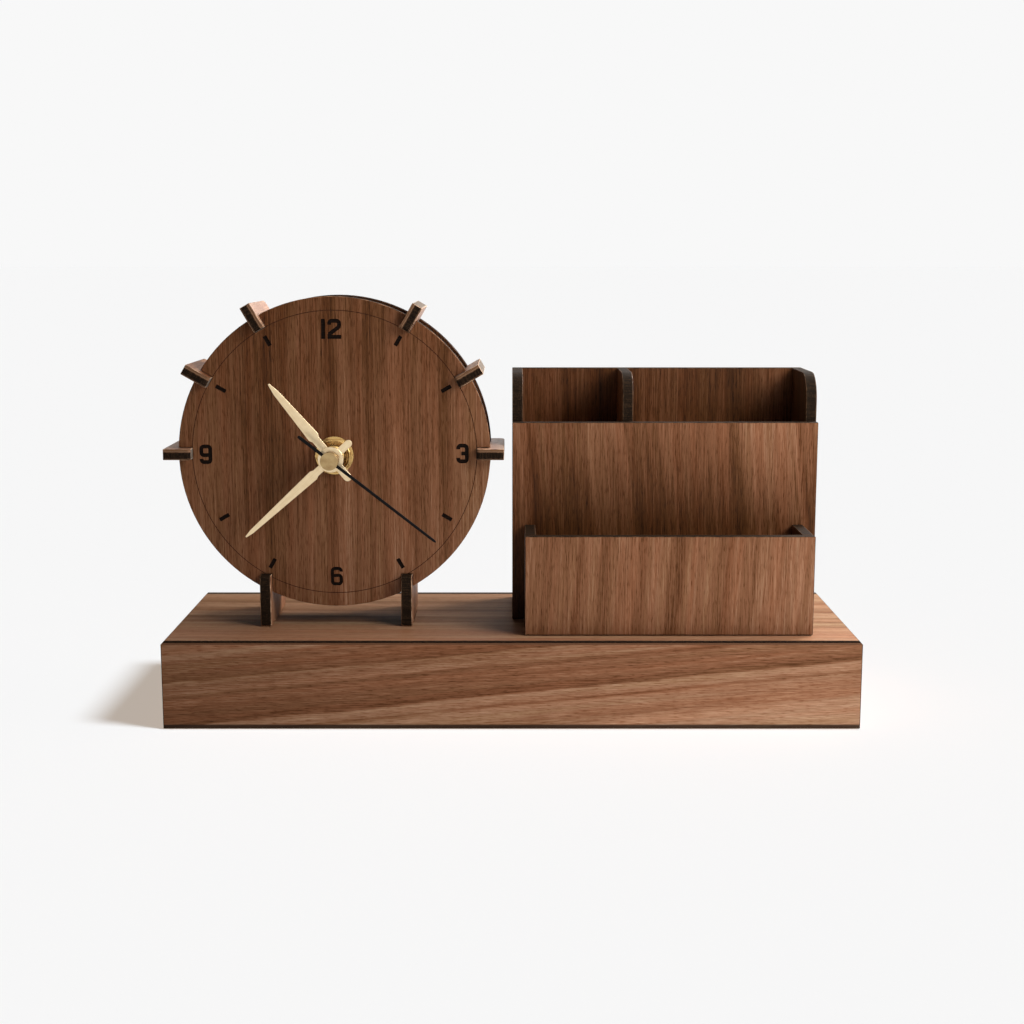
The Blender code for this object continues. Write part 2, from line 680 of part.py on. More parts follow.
def make_fixings():
    """The threaded bush, and the washers and the nut that hold the movement to the dial."""
    ring("threaded_bush", BRASS, circle(BUSH_RADIUS), BUSH_BORE, (BUSH_FRONT, CASE_FLOOR))
    rubber_layer = (DIAL_REAR + HARDWARE_GAP, CASE_FRONT - HARDWARE_GAP)
    ring("rubber_washer", RUBBER, circle(RUBBER_WASHER_RADIUS), HARDWARE_BORE, rubber_layer)
    washer_rear = DIAL_FRONT - HARDWARE_GAP
    washer_layer = (washer_rear - BRASS_WASHER_THICKNESS, washer_rear)
    washer = circle(BRASS_WASHER_RADIUS, steps=BRASS_WASHER_STEPS)
    ring("brass_washer", BRASS, washer, HARDWARE_BORE, washer_layer)
    nut_rear = washer_layer[0] - HARDWARE_GAP
    corner_radius = NUT_ACROSS_FLATS / 2 / math.cos(math.radians(30))
    ring("hex_nut", BRASS, circle(corner_radius, steps=6), HARDWARE_BORE, (nut_rear - NUT_THICKNESS, nut_rear))


def make_battery():
    """The AA cell along the bay, and the metal contacts at its two ends."""
    half_bay = CASE_SIDE / 2 - CASE_WALL
    right = half_bay - GAP - CONTACT_THICKNESS - GAP
    shoulder = right - BATTERY_NUB_LENGTH
    left = shoulder - BATTERY_LENGTH
    cell = (BATTERY_Y, 0.0)
    body = prism(circle(BATTERY_RADIUS, cell, BATTERY_STEPS), left, shoulder, "X")
    nub = prism(circle(BATTERY_NUB_RADIUS, cell), shoulder - THROUGH, right, "X")
    clock_part("battery", CELL_GREY, [body, nub], centre=(0, BATTERY_V))
    half = CONTACT_WIDTH / 2
    plate = box((right + GAP, BATTERY_Y - half, -half), (right + GAP + CONTACT_THICKNESS, BATTERY_Y + half, half))
    clock_part("battery_contact_positive", STEEL, [plate], centre=(0, BATTERY_V))
    wall = -half_bay + GAP
    peak = left - GAP
    strip = [
        (wall, -half),
        (wall + CONTACT_THICKNESS, -half),
        (peak, 0.0),
        (wall + CONTACT_THICKNESS, half),
        (wall, half),
        (peak - SPRING_PEAK_THICKNESS, 0.0),
    ]
    spring = prism(strip, BATTERY_Y - SPRING_WIDTH / 2, BATTERY_Y + SPRING_WIDTH / 2)
    clock_part("battery_contact_negative", STEEL, [spring], centre=(0, BATTERY_V))


def make_motor():
    """The stepping motor: stator plate about the rotor, and the coil on its core across the stator's arms."""
    arm = STATOR_HALF_WIDTH - STATOR_ARM_WIDTH
    low, shoulder = ROTOR_CENTRE[1] - STATOR_RIM, ROTOR_CENTRE[1] + STATOR_RIM
    high = COIL_V + CORE_MARGIN
    outline = [
        (-STATOR_HALF_WIDTH, low),
        (STATOR_HALF_WIDTH, low),
        (STATOR_HALF_WIDTH, high),
        (arm, high),
        (arm, shoulder),
        (-arm, shoulder),
        (-arm, high),
        (-STATOR_HALF_WIDTH, high),
    ]
    rear = STATOR_FRONT + STATOR_THICKNESS
    rotor_hole = prism(circle(ROTOR_HOLE, ROTOR_CENTRE), STATOR_FRONT - THROUGH, rear + THROUGH)
    clock_part("stator", STEEL, [prism(outline, STATOR_FRONT, rear)], [rotor_hole])
    core_front = rear + HARDWARE_GAP
    core_rear = core_front + CORE_THICKNESS
    core_low, core_high = COIL_V - CORE_HALF_HEIGHT, COIL_V + CORE_HALF_HEIGHT
    core = box((-STATOR_HALF_WIDTH, core_front, core_low), (STATOR_HALF_WIDTH, core_rear, core_high))
    clock_part("coil_core", STEEL, [core])
    centre = (core_front + CORE_THICKNESS / 2, COIL_V)
    meshes = [prism(circle(COIL_RADIUS, centre), -COIL_HALF_LENGTH, COIL_HALF_LENGTH, "X")]
    flange = circle(COIL_FLANGE_RADIUS, centre)
    for end in (-COIL_HALF_LENGTH, COIL_HALF_LENGTH):
        meshes.append(prism(flange, end - COIL_FLANGE_HALF_THICKNESS, end + COIL_FLANGE_HALF_THICKNESS, "X"))
    play = HARDWARE_GAP
    tunnel = box(
        (-STATOR_HALF_WIDTH, core_front - play, core_low - play),
        (STATOR_HALF_WIDTH, core_rear + play, core_high + play),
    )
    clock_part("coil", COPPER, meshes, [tunnel])


def make_circuit():
    """The circuit board on its two posts, and the quartz crystal in its can."""
    left, right = CIRCUIT_X - CIRCUIT_HALF_WIDTH, CIRCUIT_X + CIRCUIT_HALF_WIDTH
    rear = CIRCUIT_FRONT + CIRCUIT_THICKNESS
    board = box((left, CIRCUIT_FRONT, CIRCUIT_LOW), (right, rear, CIRCUIT_HIGH))
    clock_part("circuit_board", BOARD_GREEN, [board])
    centre = (CIRCUIT_FRONT - HARDWARE_GAP - CRYSTAL_RADIUS, CRYSTAL_V)
    can = circle(CRYSTAL_RADIUS, centre, CRYSTAL_STEPS)
    crystal = prism(can, -CRYSTAL_HALF_LENGTH, CRYSTAL_HALF_LENGTH, "X")
    clock_part("quartz_crystal", STEEL, [crystal], centre=(CIRCUIT_X, 0))


def make_second_train():
    """The wheels that the motor drives: rotor, fifth wheel, seconds wheel, third wheel and centre wheel."""
    pinion_phase = meshed_phase(ROTOR_PINION_TEETH, FIFTH_WHEEL_TEETH, UP)
    rotor = [
        arbor(PIVOT_RADIUS, PIVOT_LAYER),
        prism(gear(ROTOR_PINION_TEETH, ROTOR_MODULE, pinion_phase), *ROTOR_PINION_LAYER),
        arbor(ROTOR_MAGNET_RADIUS, ROTOR_MAGNET_LAYER, ROUND_STEPS),
    ]
    clock_part("rotor", STEEL, rotor, centre=ROTOR_CENTRE)
    pinion_phase = meshed_phase(FIFTH_PINION_TEETH, SECONDS_WHEEL_TEETH, UP)
    fifth = [
        arbor(PIVOT_RADIUS, PIVOT_LAYER),
        prism(gear(FIFTH_WHEEL_TEETH, ROTOR_MODULE, 0.0), *FIFTH_WHEEL_LAYER),
        prism(gear(FIFTH_PINION_TEETH, SECONDS_MODULE, pinion_phase), *FIFTH_PINION_LAYER),
    ]
    clock_part("fifth_wheel", WHITE_PLASTIC, fifth, centre=FIFTH_CENTRE)
    seconds = [
        arbor(SECONDS_ARBOR_RADIUS, (SECOND_HAND_FRONT, PIVOT_LAYER[1])),
        prism(gear(SECONDS_WHEEL_TEETH, SECONDS_MODULE, 0.0), *SECONDS_WHEEL_LAYER),
        prism(gear(SECONDS_PINION_TEETH, THIRD_MODULE, 0.0), *SECONDS_PINION_LAYER),
    ]
    clock_part("seconds_wheel", STEEL, seconds)
    wheel_phase = meshed_phase(THIRD_WHEEL_TEETH, SECONDS_PINION_TEETH, LEFT)
    third = [
        arbor(PIVOT_RADIUS, PIVOT_LAYER),
        prism(gear(THIRD_WHEEL_TEETH, THIRD_MODULE, wheel_phase), *THIRD_WHEEL_LAYER),
        prism(gear(THIRD_PINION_TEETH, CENTRE_MODULE, 0.0), *THIRD_PINION_LAYER),
    ]
    clock_part("third_wheel", WHITE_PLASTIC, third, centre=THIRD_CENTRE)
    wheel_phase = meshed_phase(CENTRE_WHEEL_TEETH, THIRD_PINION_TEETH, RIGHT)
    centre = [
        prism(gear(CENTRE_WHEEL_TEETH, CENTRE_MODULE, wheel_phase), *CENTRE_WHEEL_LAYER),
        arbor(CENTRE_HUB_RADIUS, CENTRE_HUB_LAYER, ROUND_STEPS),
    ]
    hole = bore(MINUTE_SEAT_HOLE, CENTRE_HUB_LAYER, ROUND_STEPS)
    clock_part("centre_wheel", WHITE_PLASTIC, centre, [hole])


def make_hand_train():
    """The wheels that set the hands: minute arbor, minute wheel, hour wheel and setting knob."""
    minute_front = MINUTE_HAND_FRONT - MINUTE_ARBOR_PROUD
    minute = [
        arbor(MINUTE_ARBOR_RADIUS, (minute_front, MINUTE_ARBOR_REAR), ROUND_STEPS),
        prism(gear(CANNON_PINION_TEETH, MINUTE_MODULE, 0.0), *CANNON_PINION_LAYER),
        arbor(MINUTE_ARBOR_SEAT, MINUTE_SEAT_LAYER, ROUND_STEPS),
    ]
    hole = bore(SECONDS_ARBOR_HOLE, (minute_front, MINUTE_SEAT_LAYER[1]))
    clock_part("minute_arbor", BRASS, minute, [hole])
    minute_phase = meshed_phase(MINUTE_WHEEL_TEETH, CANNON_PINION_TEETH, RIGHT)
    wheel = [
        prism(gear(MINUTE_PINION_TEETH, HOUR_MODULE, 0.0), *MINUTE_PINION_LAYER),
        prism(gear(MINUTE_WHEEL_TEETH, MINUTE_MODULE, minute_phase), *MINUTE_WHEEL_LAYER),
    ]
    hole = bore(MINUTE_POST_HOLE, (MINUTE_PINION_LAYER[0], MINUTE_WHEEL_LAYER[1]))
    clock_part("minute_wheel", WHITE_PLASTIC, wheel, [hole], centre=MINUTE_WHEEL_CENTRE)
    hour_phase = meshed_phase(HOUR_WHEEL_TEETH, MINUTE_PINION_TEETH, LEFT)
    pipe_front = HOUR_HAND_FRONT - HOUR_PIPE_PROUD
    hour = [
        arbor(HOUR_PIPE_RADIUS, (pipe_front, HOUR_PIPE_REAR), ROUND_STEPS),
        prism(gear(HOUR_WHEEL_TEETH, HOUR_MODULE, hour_phase), *HOUR_WHEEL_LAYER),
    ]
    hole = bore(HOUR_PIPE_BORE, (pipe_front, HOUR_WHEEL_LAYER[1]), ROUND_STEPS)
    clock_part("hour_wheel", BRASS, hour, [hole])
    knob_phase = meshed_phase(SETTING_PINION_TEETH, MINUTE_WHEEL_TEETH, RIGHT, minute_phase)
    knob_front = CASE_REAR + GAP
    knob = [
        arbor(KNOB_ARBOR_RADIUS, (KNOB_ARBOR_FRONT, knob_front + OVERLAP)),
        arbor(KNOB_PIVOT_RADIUS, (PIVOT_LAYER[0], KNOB_PIVOT_REAR)),
        prism(gear(SETTING_PINION_TEETH, MINUTE_MODULE, knob_phase), *SETTING_PINION_LAYER),
        prism(knurled(KNOB_RADIUS, KNOB_RIDGES), knob_front, knob_front + KNOB_THICKNESS),
    ]
    clock_part("setting_knob", WHITE_PLASTIC, knob, centre=KNOB_CENTRE)


def knurled(radius, ridges):
    """A round outline with shallow ridges for the fingertip."""
    points = []
    for i in range(2 * ridges):
        angle = math.pi * i / ridges
        reach = radius - KNOB_RIDGE_DEPTH * (i % 2)
        points.append((reach * math.cos(angle), reach * math.sin(angle)))
    return points


def blade_outline(blade):
    """A hand's outline, pointing up: round tail, straight neck, and a blade that ends in a point."""
    half_neck, half_point = blade.neck_width / 2, blade.point_width / 2
    side = [
        (half_neck, blade.shoulder - SHOULDER_SLOPE),
        (blade.shoulder_width / 2, blade.shoulder),
        (blade.tip_width / 2, blade.tip - blade.point),
    ]
    points = arc((0, half_neck - blade.tail), half_neck, 180, 360, BLADE_STEPS) + side
    points += arc((0, blade.tip - half_point), half_point, 0, 180, BLADE_STEPS)
    return points + [(-x, z) for x, z in reversed(side)]


def make_hands():
    """The three hands at the photographed time, and the cap over the second hand's hub."""
    layer = (HOUR_HAND_FRONT, HOUR_HAND_FRONT + HAND_THICKNESS)
    hour = [prism(blade_outline(HOUR_BLADE), *layer), arbor(HOUR_HUB_RADIUS, layer, ROUND_STEPS)]
    hole = bore(HOUR_PIPE_RADIUS + HOUR_HAND_FIT, layer, ROUND_STEPS)
    clock_part("hour_hand", BRASS, hour, [hole], turn=HOUR_ANGLE)
    layer = (MINUTE_HAND_FRONT, MINUTE_HAND_FRONT + HAND_THICKNESS)
    collar_layer = (layer[0] - COLLAR_PROUD, layer[1] + COLLAR_PROUD)
    minute = [prism(blade_outline(MINUTE_BLADE), *layer), arbor(COLLAR_RADIUS, collar_layer, FINE_STEPS)]
    hole = bore(MINUTE_ARBOR_RADIUS + MINUTE_HAND_FIT, collar_layer, ROUND_STEPS)
    clock_part("minute_hand", BRASS, minute, [hole], turn=MINUTE_ANGLE)
    rear = SECOND_HAND_FRONT + SECOND_HAND_THICKNESS
    second = [
        prism(blade_outline(SECOND_BLADE), SECOND_HAND_FRONT, rear),
        arbor(SECOND_HUB_RADIUS, (SECOND_HAND_FRONT, rear), ROUND_STEPS),
        arbor(SECOND_TUBE_RADIUS, (rear - OVERLAP, rear + SECOND_TUBE_LENGTH), ROUND_STEPS),
    ]
    hole = bore(SECONDS_ARBOR_HOLE, (SECOND_HAND_FRONT, rear + SECOND_TUBE_LENGTH))
    clock_part("second_hand", BLACK_METAL, second, [hole], turn=SECOND_ANGLE)
    cap_rear = CAP_FRONT + CAP_DEPTH
    cap_floor = SECOND_HAND_FRONT - GAP
    cap = arbor(CAP_RADIUS, (CAP_FRONT, cap_rear), FINE_STEPS)
    hollow = arbor(CAP_INNER_RADIUS, (cap_floor, cap_rear + THROUGH), ROUND_STEPS)
    reach = CAP_RADIUS + THROUGH
    hand_slot = box((-CAP_SLOT_HALF_WIDTH, cap_floor, -reach), (CAP_SLOT_HALF_WIDTH, cap_rear + THROUGH, reach))
    clock_part("second_hand_cap", BRASS, [cap], [hollow, hand_slot], turn=SECOND_ANGLE)


def main():
    """Builds the whole object in an empty scene."""
    clear_scene()
    make_base_panels()
    make_base_bottom()
    make_discs()
    make_hour_tabs()
    make_legs()
    make_pen_holder()
    make_card_tray()
    make_case()
    make_cover()
    make_fixings()
    make_battery()
    make_motor()
    make_circuit()
    make_second_train()
    make_hand_train()
    make_hands()


main()
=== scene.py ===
"""Looks of a pen holder clock: veneered boards cut and engraved by laser, and a clock with brass hands.

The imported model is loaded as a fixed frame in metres. Sizes here are in millimetres and MM turns them into
metres. X runs to the right as the dial is read, Y away from the reader and Z up.
"""

import logging
import math
from collections.abc import Callable, Iterable, Sequence
from dataclasses import dataclass, field
from enum import Enum, IntEnum
from functools import cache

import bpy
from bpy.types import Material, Node, NodeSocket, NodeTree, Object
from mathutils import Matrix, Vector


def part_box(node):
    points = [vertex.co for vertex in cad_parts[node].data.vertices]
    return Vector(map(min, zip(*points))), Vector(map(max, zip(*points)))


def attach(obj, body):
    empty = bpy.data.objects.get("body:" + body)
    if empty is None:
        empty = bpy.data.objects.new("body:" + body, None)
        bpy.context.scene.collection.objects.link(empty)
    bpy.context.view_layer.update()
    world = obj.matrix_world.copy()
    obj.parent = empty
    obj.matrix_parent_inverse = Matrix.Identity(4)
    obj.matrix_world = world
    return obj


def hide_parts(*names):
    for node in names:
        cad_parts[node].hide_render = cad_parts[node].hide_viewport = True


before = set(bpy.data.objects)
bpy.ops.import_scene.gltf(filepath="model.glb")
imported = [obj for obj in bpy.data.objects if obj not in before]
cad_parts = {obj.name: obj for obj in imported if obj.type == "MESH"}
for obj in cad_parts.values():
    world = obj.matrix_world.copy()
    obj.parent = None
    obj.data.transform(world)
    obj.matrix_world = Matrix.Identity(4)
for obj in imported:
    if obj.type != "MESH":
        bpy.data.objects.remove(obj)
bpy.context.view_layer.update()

log = logging.getLogger("pen_holder_clock")

MM = 0.001
MERGE_DISTANCE = 1e-6
FLAT_ANGLE = math.radians(0.5)
SMOOTH_ANGLE = math.radians(32)
BEVEL_ANGLE = math.radians(30)
HOUR_STEP = 30
# A face counts as a veneered one where its normal is nearer than about 18 degrees to the board's
VENEER_FACE = 0.95
# The attribute with each point's place on its sheet, in millimetres: along the grain, across it, and depth
SHEET = "sheet"

Colour = tuple[float, float, float, float]
Triple = tuple[float, float, float]
Pair = tuple[float, float]
Stops = Sequence[tuple[float, str]]
Bands = tuple[Pair, ...]
Inputs = dict[str | int, object]

# Settings and inputs that many nodes share. Most noise lies between the two values of NOISE_SPAN
MULTIPLY = {"operation": "MULTIPLY"}
MULTIPLY_ADD = {"operation": "MULTIPLY_ADD"}
MIX_COLOURS = {"data_type": "RGBA"}
TINT = {"data_type": "RGBA", "blend_type": "MULTIPLY"}
NOISE_SPAN = {1: 0.3, 2: 0.7}
FROM_ZERO_TO_ONE = {3: 0.0, 4: 1.0}


class Axis(Enum):
    """A direction of the frame."""

    X = (1.0, 0.0, 0.0)
    Y = (0.0, 1.0, 0.0)
    Z = (0.0, 0.0, 1.0)


class Slot(Enum):
    """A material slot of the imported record."""

    WALNUT = "walnut"
    RUBBER = "rubber"
    BRASS = "brass"
    BLACK_METAL = "black_metal"
    BLACK_PLASTIC = "black_plastic"
    WHITE_PLASTIC = "white_plastic"
    SLEEVE = "battery_sleeve"


class ClockCentre:
    """Where the dial's centre is, and how high the hands' shaft comes through below it, in millimetres."""

    X = -63.9
    Z = 96.4
    SHAFT_Z = 95.7


DIAL_CENTRE = Vector((ClockCentre.X, 0, ClockCentre.Z))
SHAFT = Vector((ClockCentre.X, 0, ClockCentre.SHAFT_Z))


def linear(code: str) -> Colour:
    """The linear colour of an sRGB hex value.

    Args:
        code: The colour as "#RRGGBB".

    Returns:
        Red, green, blue and an alpha of one.
    """
    parts = [int(code[i : i + 2], 16) / 255 for i in (1, 3, 5)]
    red, green, blue = (c / 12.92 if c <= 0.04045 else ((c + 0.055) / 1.055) ** 2.4 for c in parts)
    return red, green, blue, 1.0


def coloured(stops: Stops) -> list[tuple[float, Colour]]:
    """The stops of a colour ramp with their hex values made linear."""
    return [(place, linear(code)) for place, code in stops]


def feed(tree: NodeTree, node: Node, inputs: Inputs) -> None:
    """Links or sets inputs of a node.

    Args:
        tree: The node's tree.
        node: The node.
        inputs: For each input, by name or number, the socket that feeds it or its constant.
    """
    for name, value in inputs.items():
        socket = node.inputs[name]
        if isinstance(value, NodeSocket):
            tree.links.new(value, socket)
        else:
            socket.default_value = value


def add(
    tree: NodeTree,
    kind: str,
    settings: dict[str, object] | None = None,
    links: Inputs | None = None,
    stops: Sequence[tuple[float, Colour]] = (),
) -> Node:
    """Adds a node with its settings and links.

    Args:
        tree: The node tree that it joins.
        kind: The node's type.
        settings: Values of the node's own properties.
        links: For each input, the socket that feeds it or its constant. Those of a Map Range are numbered:
            its value, the two ends that it comes from, and the two that it goes to.
        stops: Positions and colours of a colour ramp.

    Returns:
        The new node.
    """
    node = tree.nodes.new(kind)
    for name, value in (settings or {}).items():
        setattr(node, name, value)
    feed(tree, node, links or {})
    for number, (place, colour) in enumerate(stops):
        elements = node.color_ramp.elements
        element = elements[number] if number < len(elements) else elements.new(place)
        element.position = place
        element.color = colour
    return node


@dataclass(frozen=True)
class Finish:
    """A surface as its maker left it."""

    name: str

    def material(self) -> Material:
        """The finish as a procedural material.

        Returns:
            The new material.
        """
        material = bpy.data.materials.new(self.name)
        material.use_nodes = True
        tree = material.node_tree
        feed(tree, tree.nodes["Principled BSDF"], self.surface(tree))
        return material

    def surface(self, tree: NodeTree) -> Inputs:
        """Builds the finish's pattern.

        Args:
            tree: The material's node tree.

        Returns:
            What feeds the shader: for each of its inputs, a socket or a constant.
        """
        raise NotImplementedError


@cache
def material_of(finish: Finish) -> Material:
    """The one material of a finish."""
    return finish.material()


@dataclass(frozen=True)
class Streaks:
    """A layer of a veneer's figure: noise drawn out along the grain.

    A streak has a length and a width in millimetres. The number sets the layer's noise apart from the
    others', and the weight is how much it shifts the tone.
    """

    length: float
    width: float
    number: int
    weight: float = 0.0

    def noise(self, tree: NodeTree, place: NodeSocket) -> NodeSocket:
        """The layer's noise.

        Args:
            tree: The node tree.
            place: Millimetres along and across the grain.

        Returns:
            The noise, from zero to one.
        """
        scale = (1 / self.length, 1 / self.width, 1)
        apart = (self.number * 3.7, self.number * 5.3, self.number)
        drawn = add(
            tree, "ShaderNodeMapping", links={"Vector": place, "Scale": scale, "Location": apart}
        ).outputs[0]
        links = {"Vector": drawn, "Scale": 1, "Detail": 1.5, "Roughness": 0.5}
        return add(tree, "ShaderNodeTexNoise", links=links).outputs[0]


# Growth rings lie 3 to 4 mm apart, and end in frayed tips. Pores are 0.1 mm wide, drawn at 0.3 mm to show
GROWTH = Streaks(200, 3.6, 0, 0.11)
FRAYED_TIPS = Streaks(16, 0.45, 3)
BROAD_BANDS = Streaks(420, 10, 5)
PORES = Streaks(3.2, 0.26, 7, -0.16)
HUES = Streaks(110, 3.4, 11)
REDDER = (1.07, 0.95, 0.88, 1.0)
GREENER = (0.98, 1.03, 0.95, 1.0)
OLIVE = (0.93, 1.08, 1.1, 1.0)
DARK_LINE = "#170D07"
WALNUT_TONES: Stops = (
    (0.0, "#281509"),
    (0.25, "#523018"),
    (0.5, "#7A5138"),
    (0.75, "#99745A"),
    (1.0, "#C2A58B"),
)


@dataclass(frozen=True)
class Veneer(Finish):
    """American walnut veneer, sliced, sanded and lacquered dull.

    The eye gets long bands of growth rings, finer streaks between them, short dark pores along the grain, and
    a satin sheen at a flat angle. Across the grain the bands are given in millimetres, each with its tone
    from dark to light. The tone fades by so much for each millimetre along the grain, a painted gradient of
    light and shade. Beyond one place across the grain the leaf turns olive, painted shade and sheen, and
    beyond another it turns near black in a thin line along the board's edge.
    """

    bands: Bands = ()
    slant: float = 0.0
    wander: float = 1.2
    fray: float = 1.6
    contrast: float = 0.6
    tone: float = 0.42
    fade: float = 0.0
    olive: float = 0.0
    olive_from: float = 0.0
    sheen: float = 0.07
    fibre: float = 18.0
    dark_line_from: float = 1000.0
    seed: float = 0.0

    def surface(self, tree: NodeTree) -> Inputs:
        """The veneer, read from the sheet coordinates of its board.

        Args:
            tree: The material's node tree.

        Returns:
            What feeds the shader's inputs.
        """
        sheet = add(tree, "ShaderNodeAttribute", {"attribute_name": SHEET}).outputs["Vector"]
        axes = add(tree, "ShaderNodeSeparateXYZ", links={0: sheet}).outputs
        across = self.ring_lines(tree, sheet, axes["X"], axes["Y"])
        flow, fibres = (
            add(tree, "ShaderNodeCombineXYZ", links={"X": axes["X"], "Y": side, "Z": self.seed}).outputs[0]
            for side in (across, axes["Y"])
        )
        tips = FRAYED_TIPS.noise(tree, fibres)
        frayed = add(tree, "ShaderNodeMath", MULTIPLY_ADD, {0: tips, 1: self.fray, 2: across}).outputs[0]
        bands = self.band_tone(tree, frayed, flow)
        tone = add(tree, "ShaderNodeMath", MULTIPLY_ADD, {0: axes["X"], 1: self.fade, 2: bands}).outputs[0]
        streak = Streaks(3 * self.fibre, 1.0, 1, 0.12)
        fibre = Streaks(self.fibre, 0.34, 2, 0.25)
        fine = fibre.noise(tree, fibres)
        open_pores = {0: PORES.noise(tree, fibres), 1: 0.54, 2: 0.68, **FROM_ZERO_TO_ONE}
        pores = add(tree, "ShaderNodeMapRange", links=open_pores).outputs[0]
        for layer, weight in (
            (GROWTH.noise(tree, flow), 2 * GROWTH.weight),
            (streak.noise(tree, flow), 2 * streak.weight),
            (fine, 2 * fibre.weight),
            (pores, PORES.weight),
        ):
            tone = add(tree, "ShaderNodeMath", MULTIPLY_ADD, {0: layer, 1: weight, 2: tone}).outputs[0]
        centred = {0: tone, 1: GROWTH.weight + streak.weight + fibre.weight}
        tone = add(tree, "ShaderNodeMath", {"operation": "SUBTRACT"}, centred).outputs[0]
        plain = add(tree, "ShaderNodeValToRGB", links={0: tone}, stops=coloured(WALNUT_TONES)).outputs[0]
        height = add(tree, "ShaderNodeMath", MULTIPLY_ADD, {0: pores, 1: -1.0, 2: fine}).outputs[0]
        relief = add(tree, "ShaderNodeBump", links={"Height": height, "Strength": 0.5, "Distance": 0.00004})
        return {
            "Base Color": self.tinted(tree, plain, HUES.noise(tree, flow), frayed, axes["Y"]),
            "Roughness": add(
                tree, "ShaderNodeMapRange", links={0: fine, **NOISE_SPAN, 3: 0.4, 4: 0.52}
            ).outputs[0],
            "Specular IOR Level": self.sheen,
            "Normal": relief.outputs[0],
        }

    def ring_lines(
        self, tree: NodeTree, sheet: NodeSocket, along: NodeSocket, across: NodeSocket
    ) -> NodeSocket:
        """Lets the ring lines lean, and drift sideways by a millimetre or so over a few centimetres.

        Args:
            tree: The node tree.
            sheet: The place on the sheet.
            along: Millimetres along the grain.
            across: Millimetres across it.

        Returns:
            Millimetres across the ring lines.
        """
        links = {"Vector": sheet, "Scale": (1 / 70, 1 / 26, 0), "Location": (self.seed, 0, self.seed)}
        scaled = add(tree, "ShaderNodeMapping", links=links).outputs[0]
        drift = add(tree, "ShaderNodeTexNoise", links={"Vector": scaled, "Scale": 1, "Detail": 1}).outputs[0]
        leaning = add(tree, "ShaderNodeMath", MULTIPLY_ADD, {0: along, 1: self.slant, 2: across}).outputs[0]
        return add(
            tree, "ShaderNodeMath", MULTIPLY_ADD, {0: drift, 1: 2 * self.wander, 2: leaning}
        ).outputs[0]

    def band_tone(self, tree: NodeTree, across: NodeSocket, flow: NodeSocket) -> NodeSocket:
        """The broad bands of the leaf, from its own list or from noise.

        Args:
            tree: The node tree.
            across: Millimetres across the grain.
            flow: Sheet coordinates that follow the rings.

        Returns:
            The tone, from zero to one.
        """
        if not self.bands:
            reach = 0.4 * self.contrast
            levels = {
                0: BROAD_BANDS.noise(tree, flow), 1: 0.25, 2: 0.75, 3: self.tone - reach, 4: self.tone + reach
            }
            return add(tree, "ShaderNodeMapRange", links=levels).outputs[0]
        low, high = self.bands[0][0], self.bands[-1][0]
        shift = self.wander + self.fray / 2
        placed = {0: across, 1: low + shift, 2: high + shift, **FROM_ZERO_TO_ONE}
        drawn = add(tree, "ShaderNodeMapRange", links=placed).outputs[0]
        middle = sum(tone for _, tone in self.bands) / len(self.bands)
        stops = []
        for place, tone in self.bands:
            level = self.tone + (tone - middle) * self.contrast
            stops.append(((place - low) / (high - low), (level, level, level, 1.0)))
        ramp = add(tree, "ShaderNodeValToRGB", links={0: drawn}, stops=stops).outputs[0]
        return add(tree, "ShaderNodeSeparateColor", links={0: ramp}).outputs[0]

    def tinted(
        self, tree: NodeTree, colour: NodeSocket, hue: NodeSocket, rings: NodeSocket, across: NodeSocket
    ) -> NodeSocket:
        """Makes some streaks redder and some greener, and adds the olive part, painted shade and sheen, and
        the near-black edge line.

        Args:
            tree: The node tree.
            colour: The walnut's colour.
            hue: Noise that says which streaks differ.
            rings: Millimetres across the ring lines.
            across: Millimetres across the grain.

        Returns:
            The veneer's colour.
        """
        for low, high, tint in ((0.46, 0.66, REDDER), (0.5, 0.32, GREENER)):
            amount = add(
                tree, "ShaderNodeMapRange", links={0: hue, 1: low, 2: high, 3: 0.0, 4: 0.6}
            ).outputs[0]
            colour = add(tree, "ShaderNodeMix", TINT, {0: amount, 6: colour, 7: tint}).outputs[2]
        # The olive part is painted shade and sheen
        if self.olive:
            span = {0: rings, 1: self.olive_from - 4, 2: self.olive_from + 4, 3: 0.0, 4: self.olive}
            olive_shade = add(tree, "ShaderNodeMapRange", links=span).outputs[0]
            colour = add(tree, "ShaderNodeMix", TINT, {0: olive_shade, 6: colour, 7: OLIVE}).outputs[2]
        # A near-black line along the board's edge, painted contact shade along the base front's bottom
        span = {0: across, 1: self.dark_line_from - 0.3, 2: self.dark_line_from + 0.3, 3: 0.0, 4: 0.9}
        burnt = add(tree, "ShaderNodeMapRange", links=span).outputs[0]
        return add(tree, "ShaderNodeMix", MIX_COLOURS, {0: burnt, 6: colour, 7: linear(DARK_LINE)}).outputs[2]


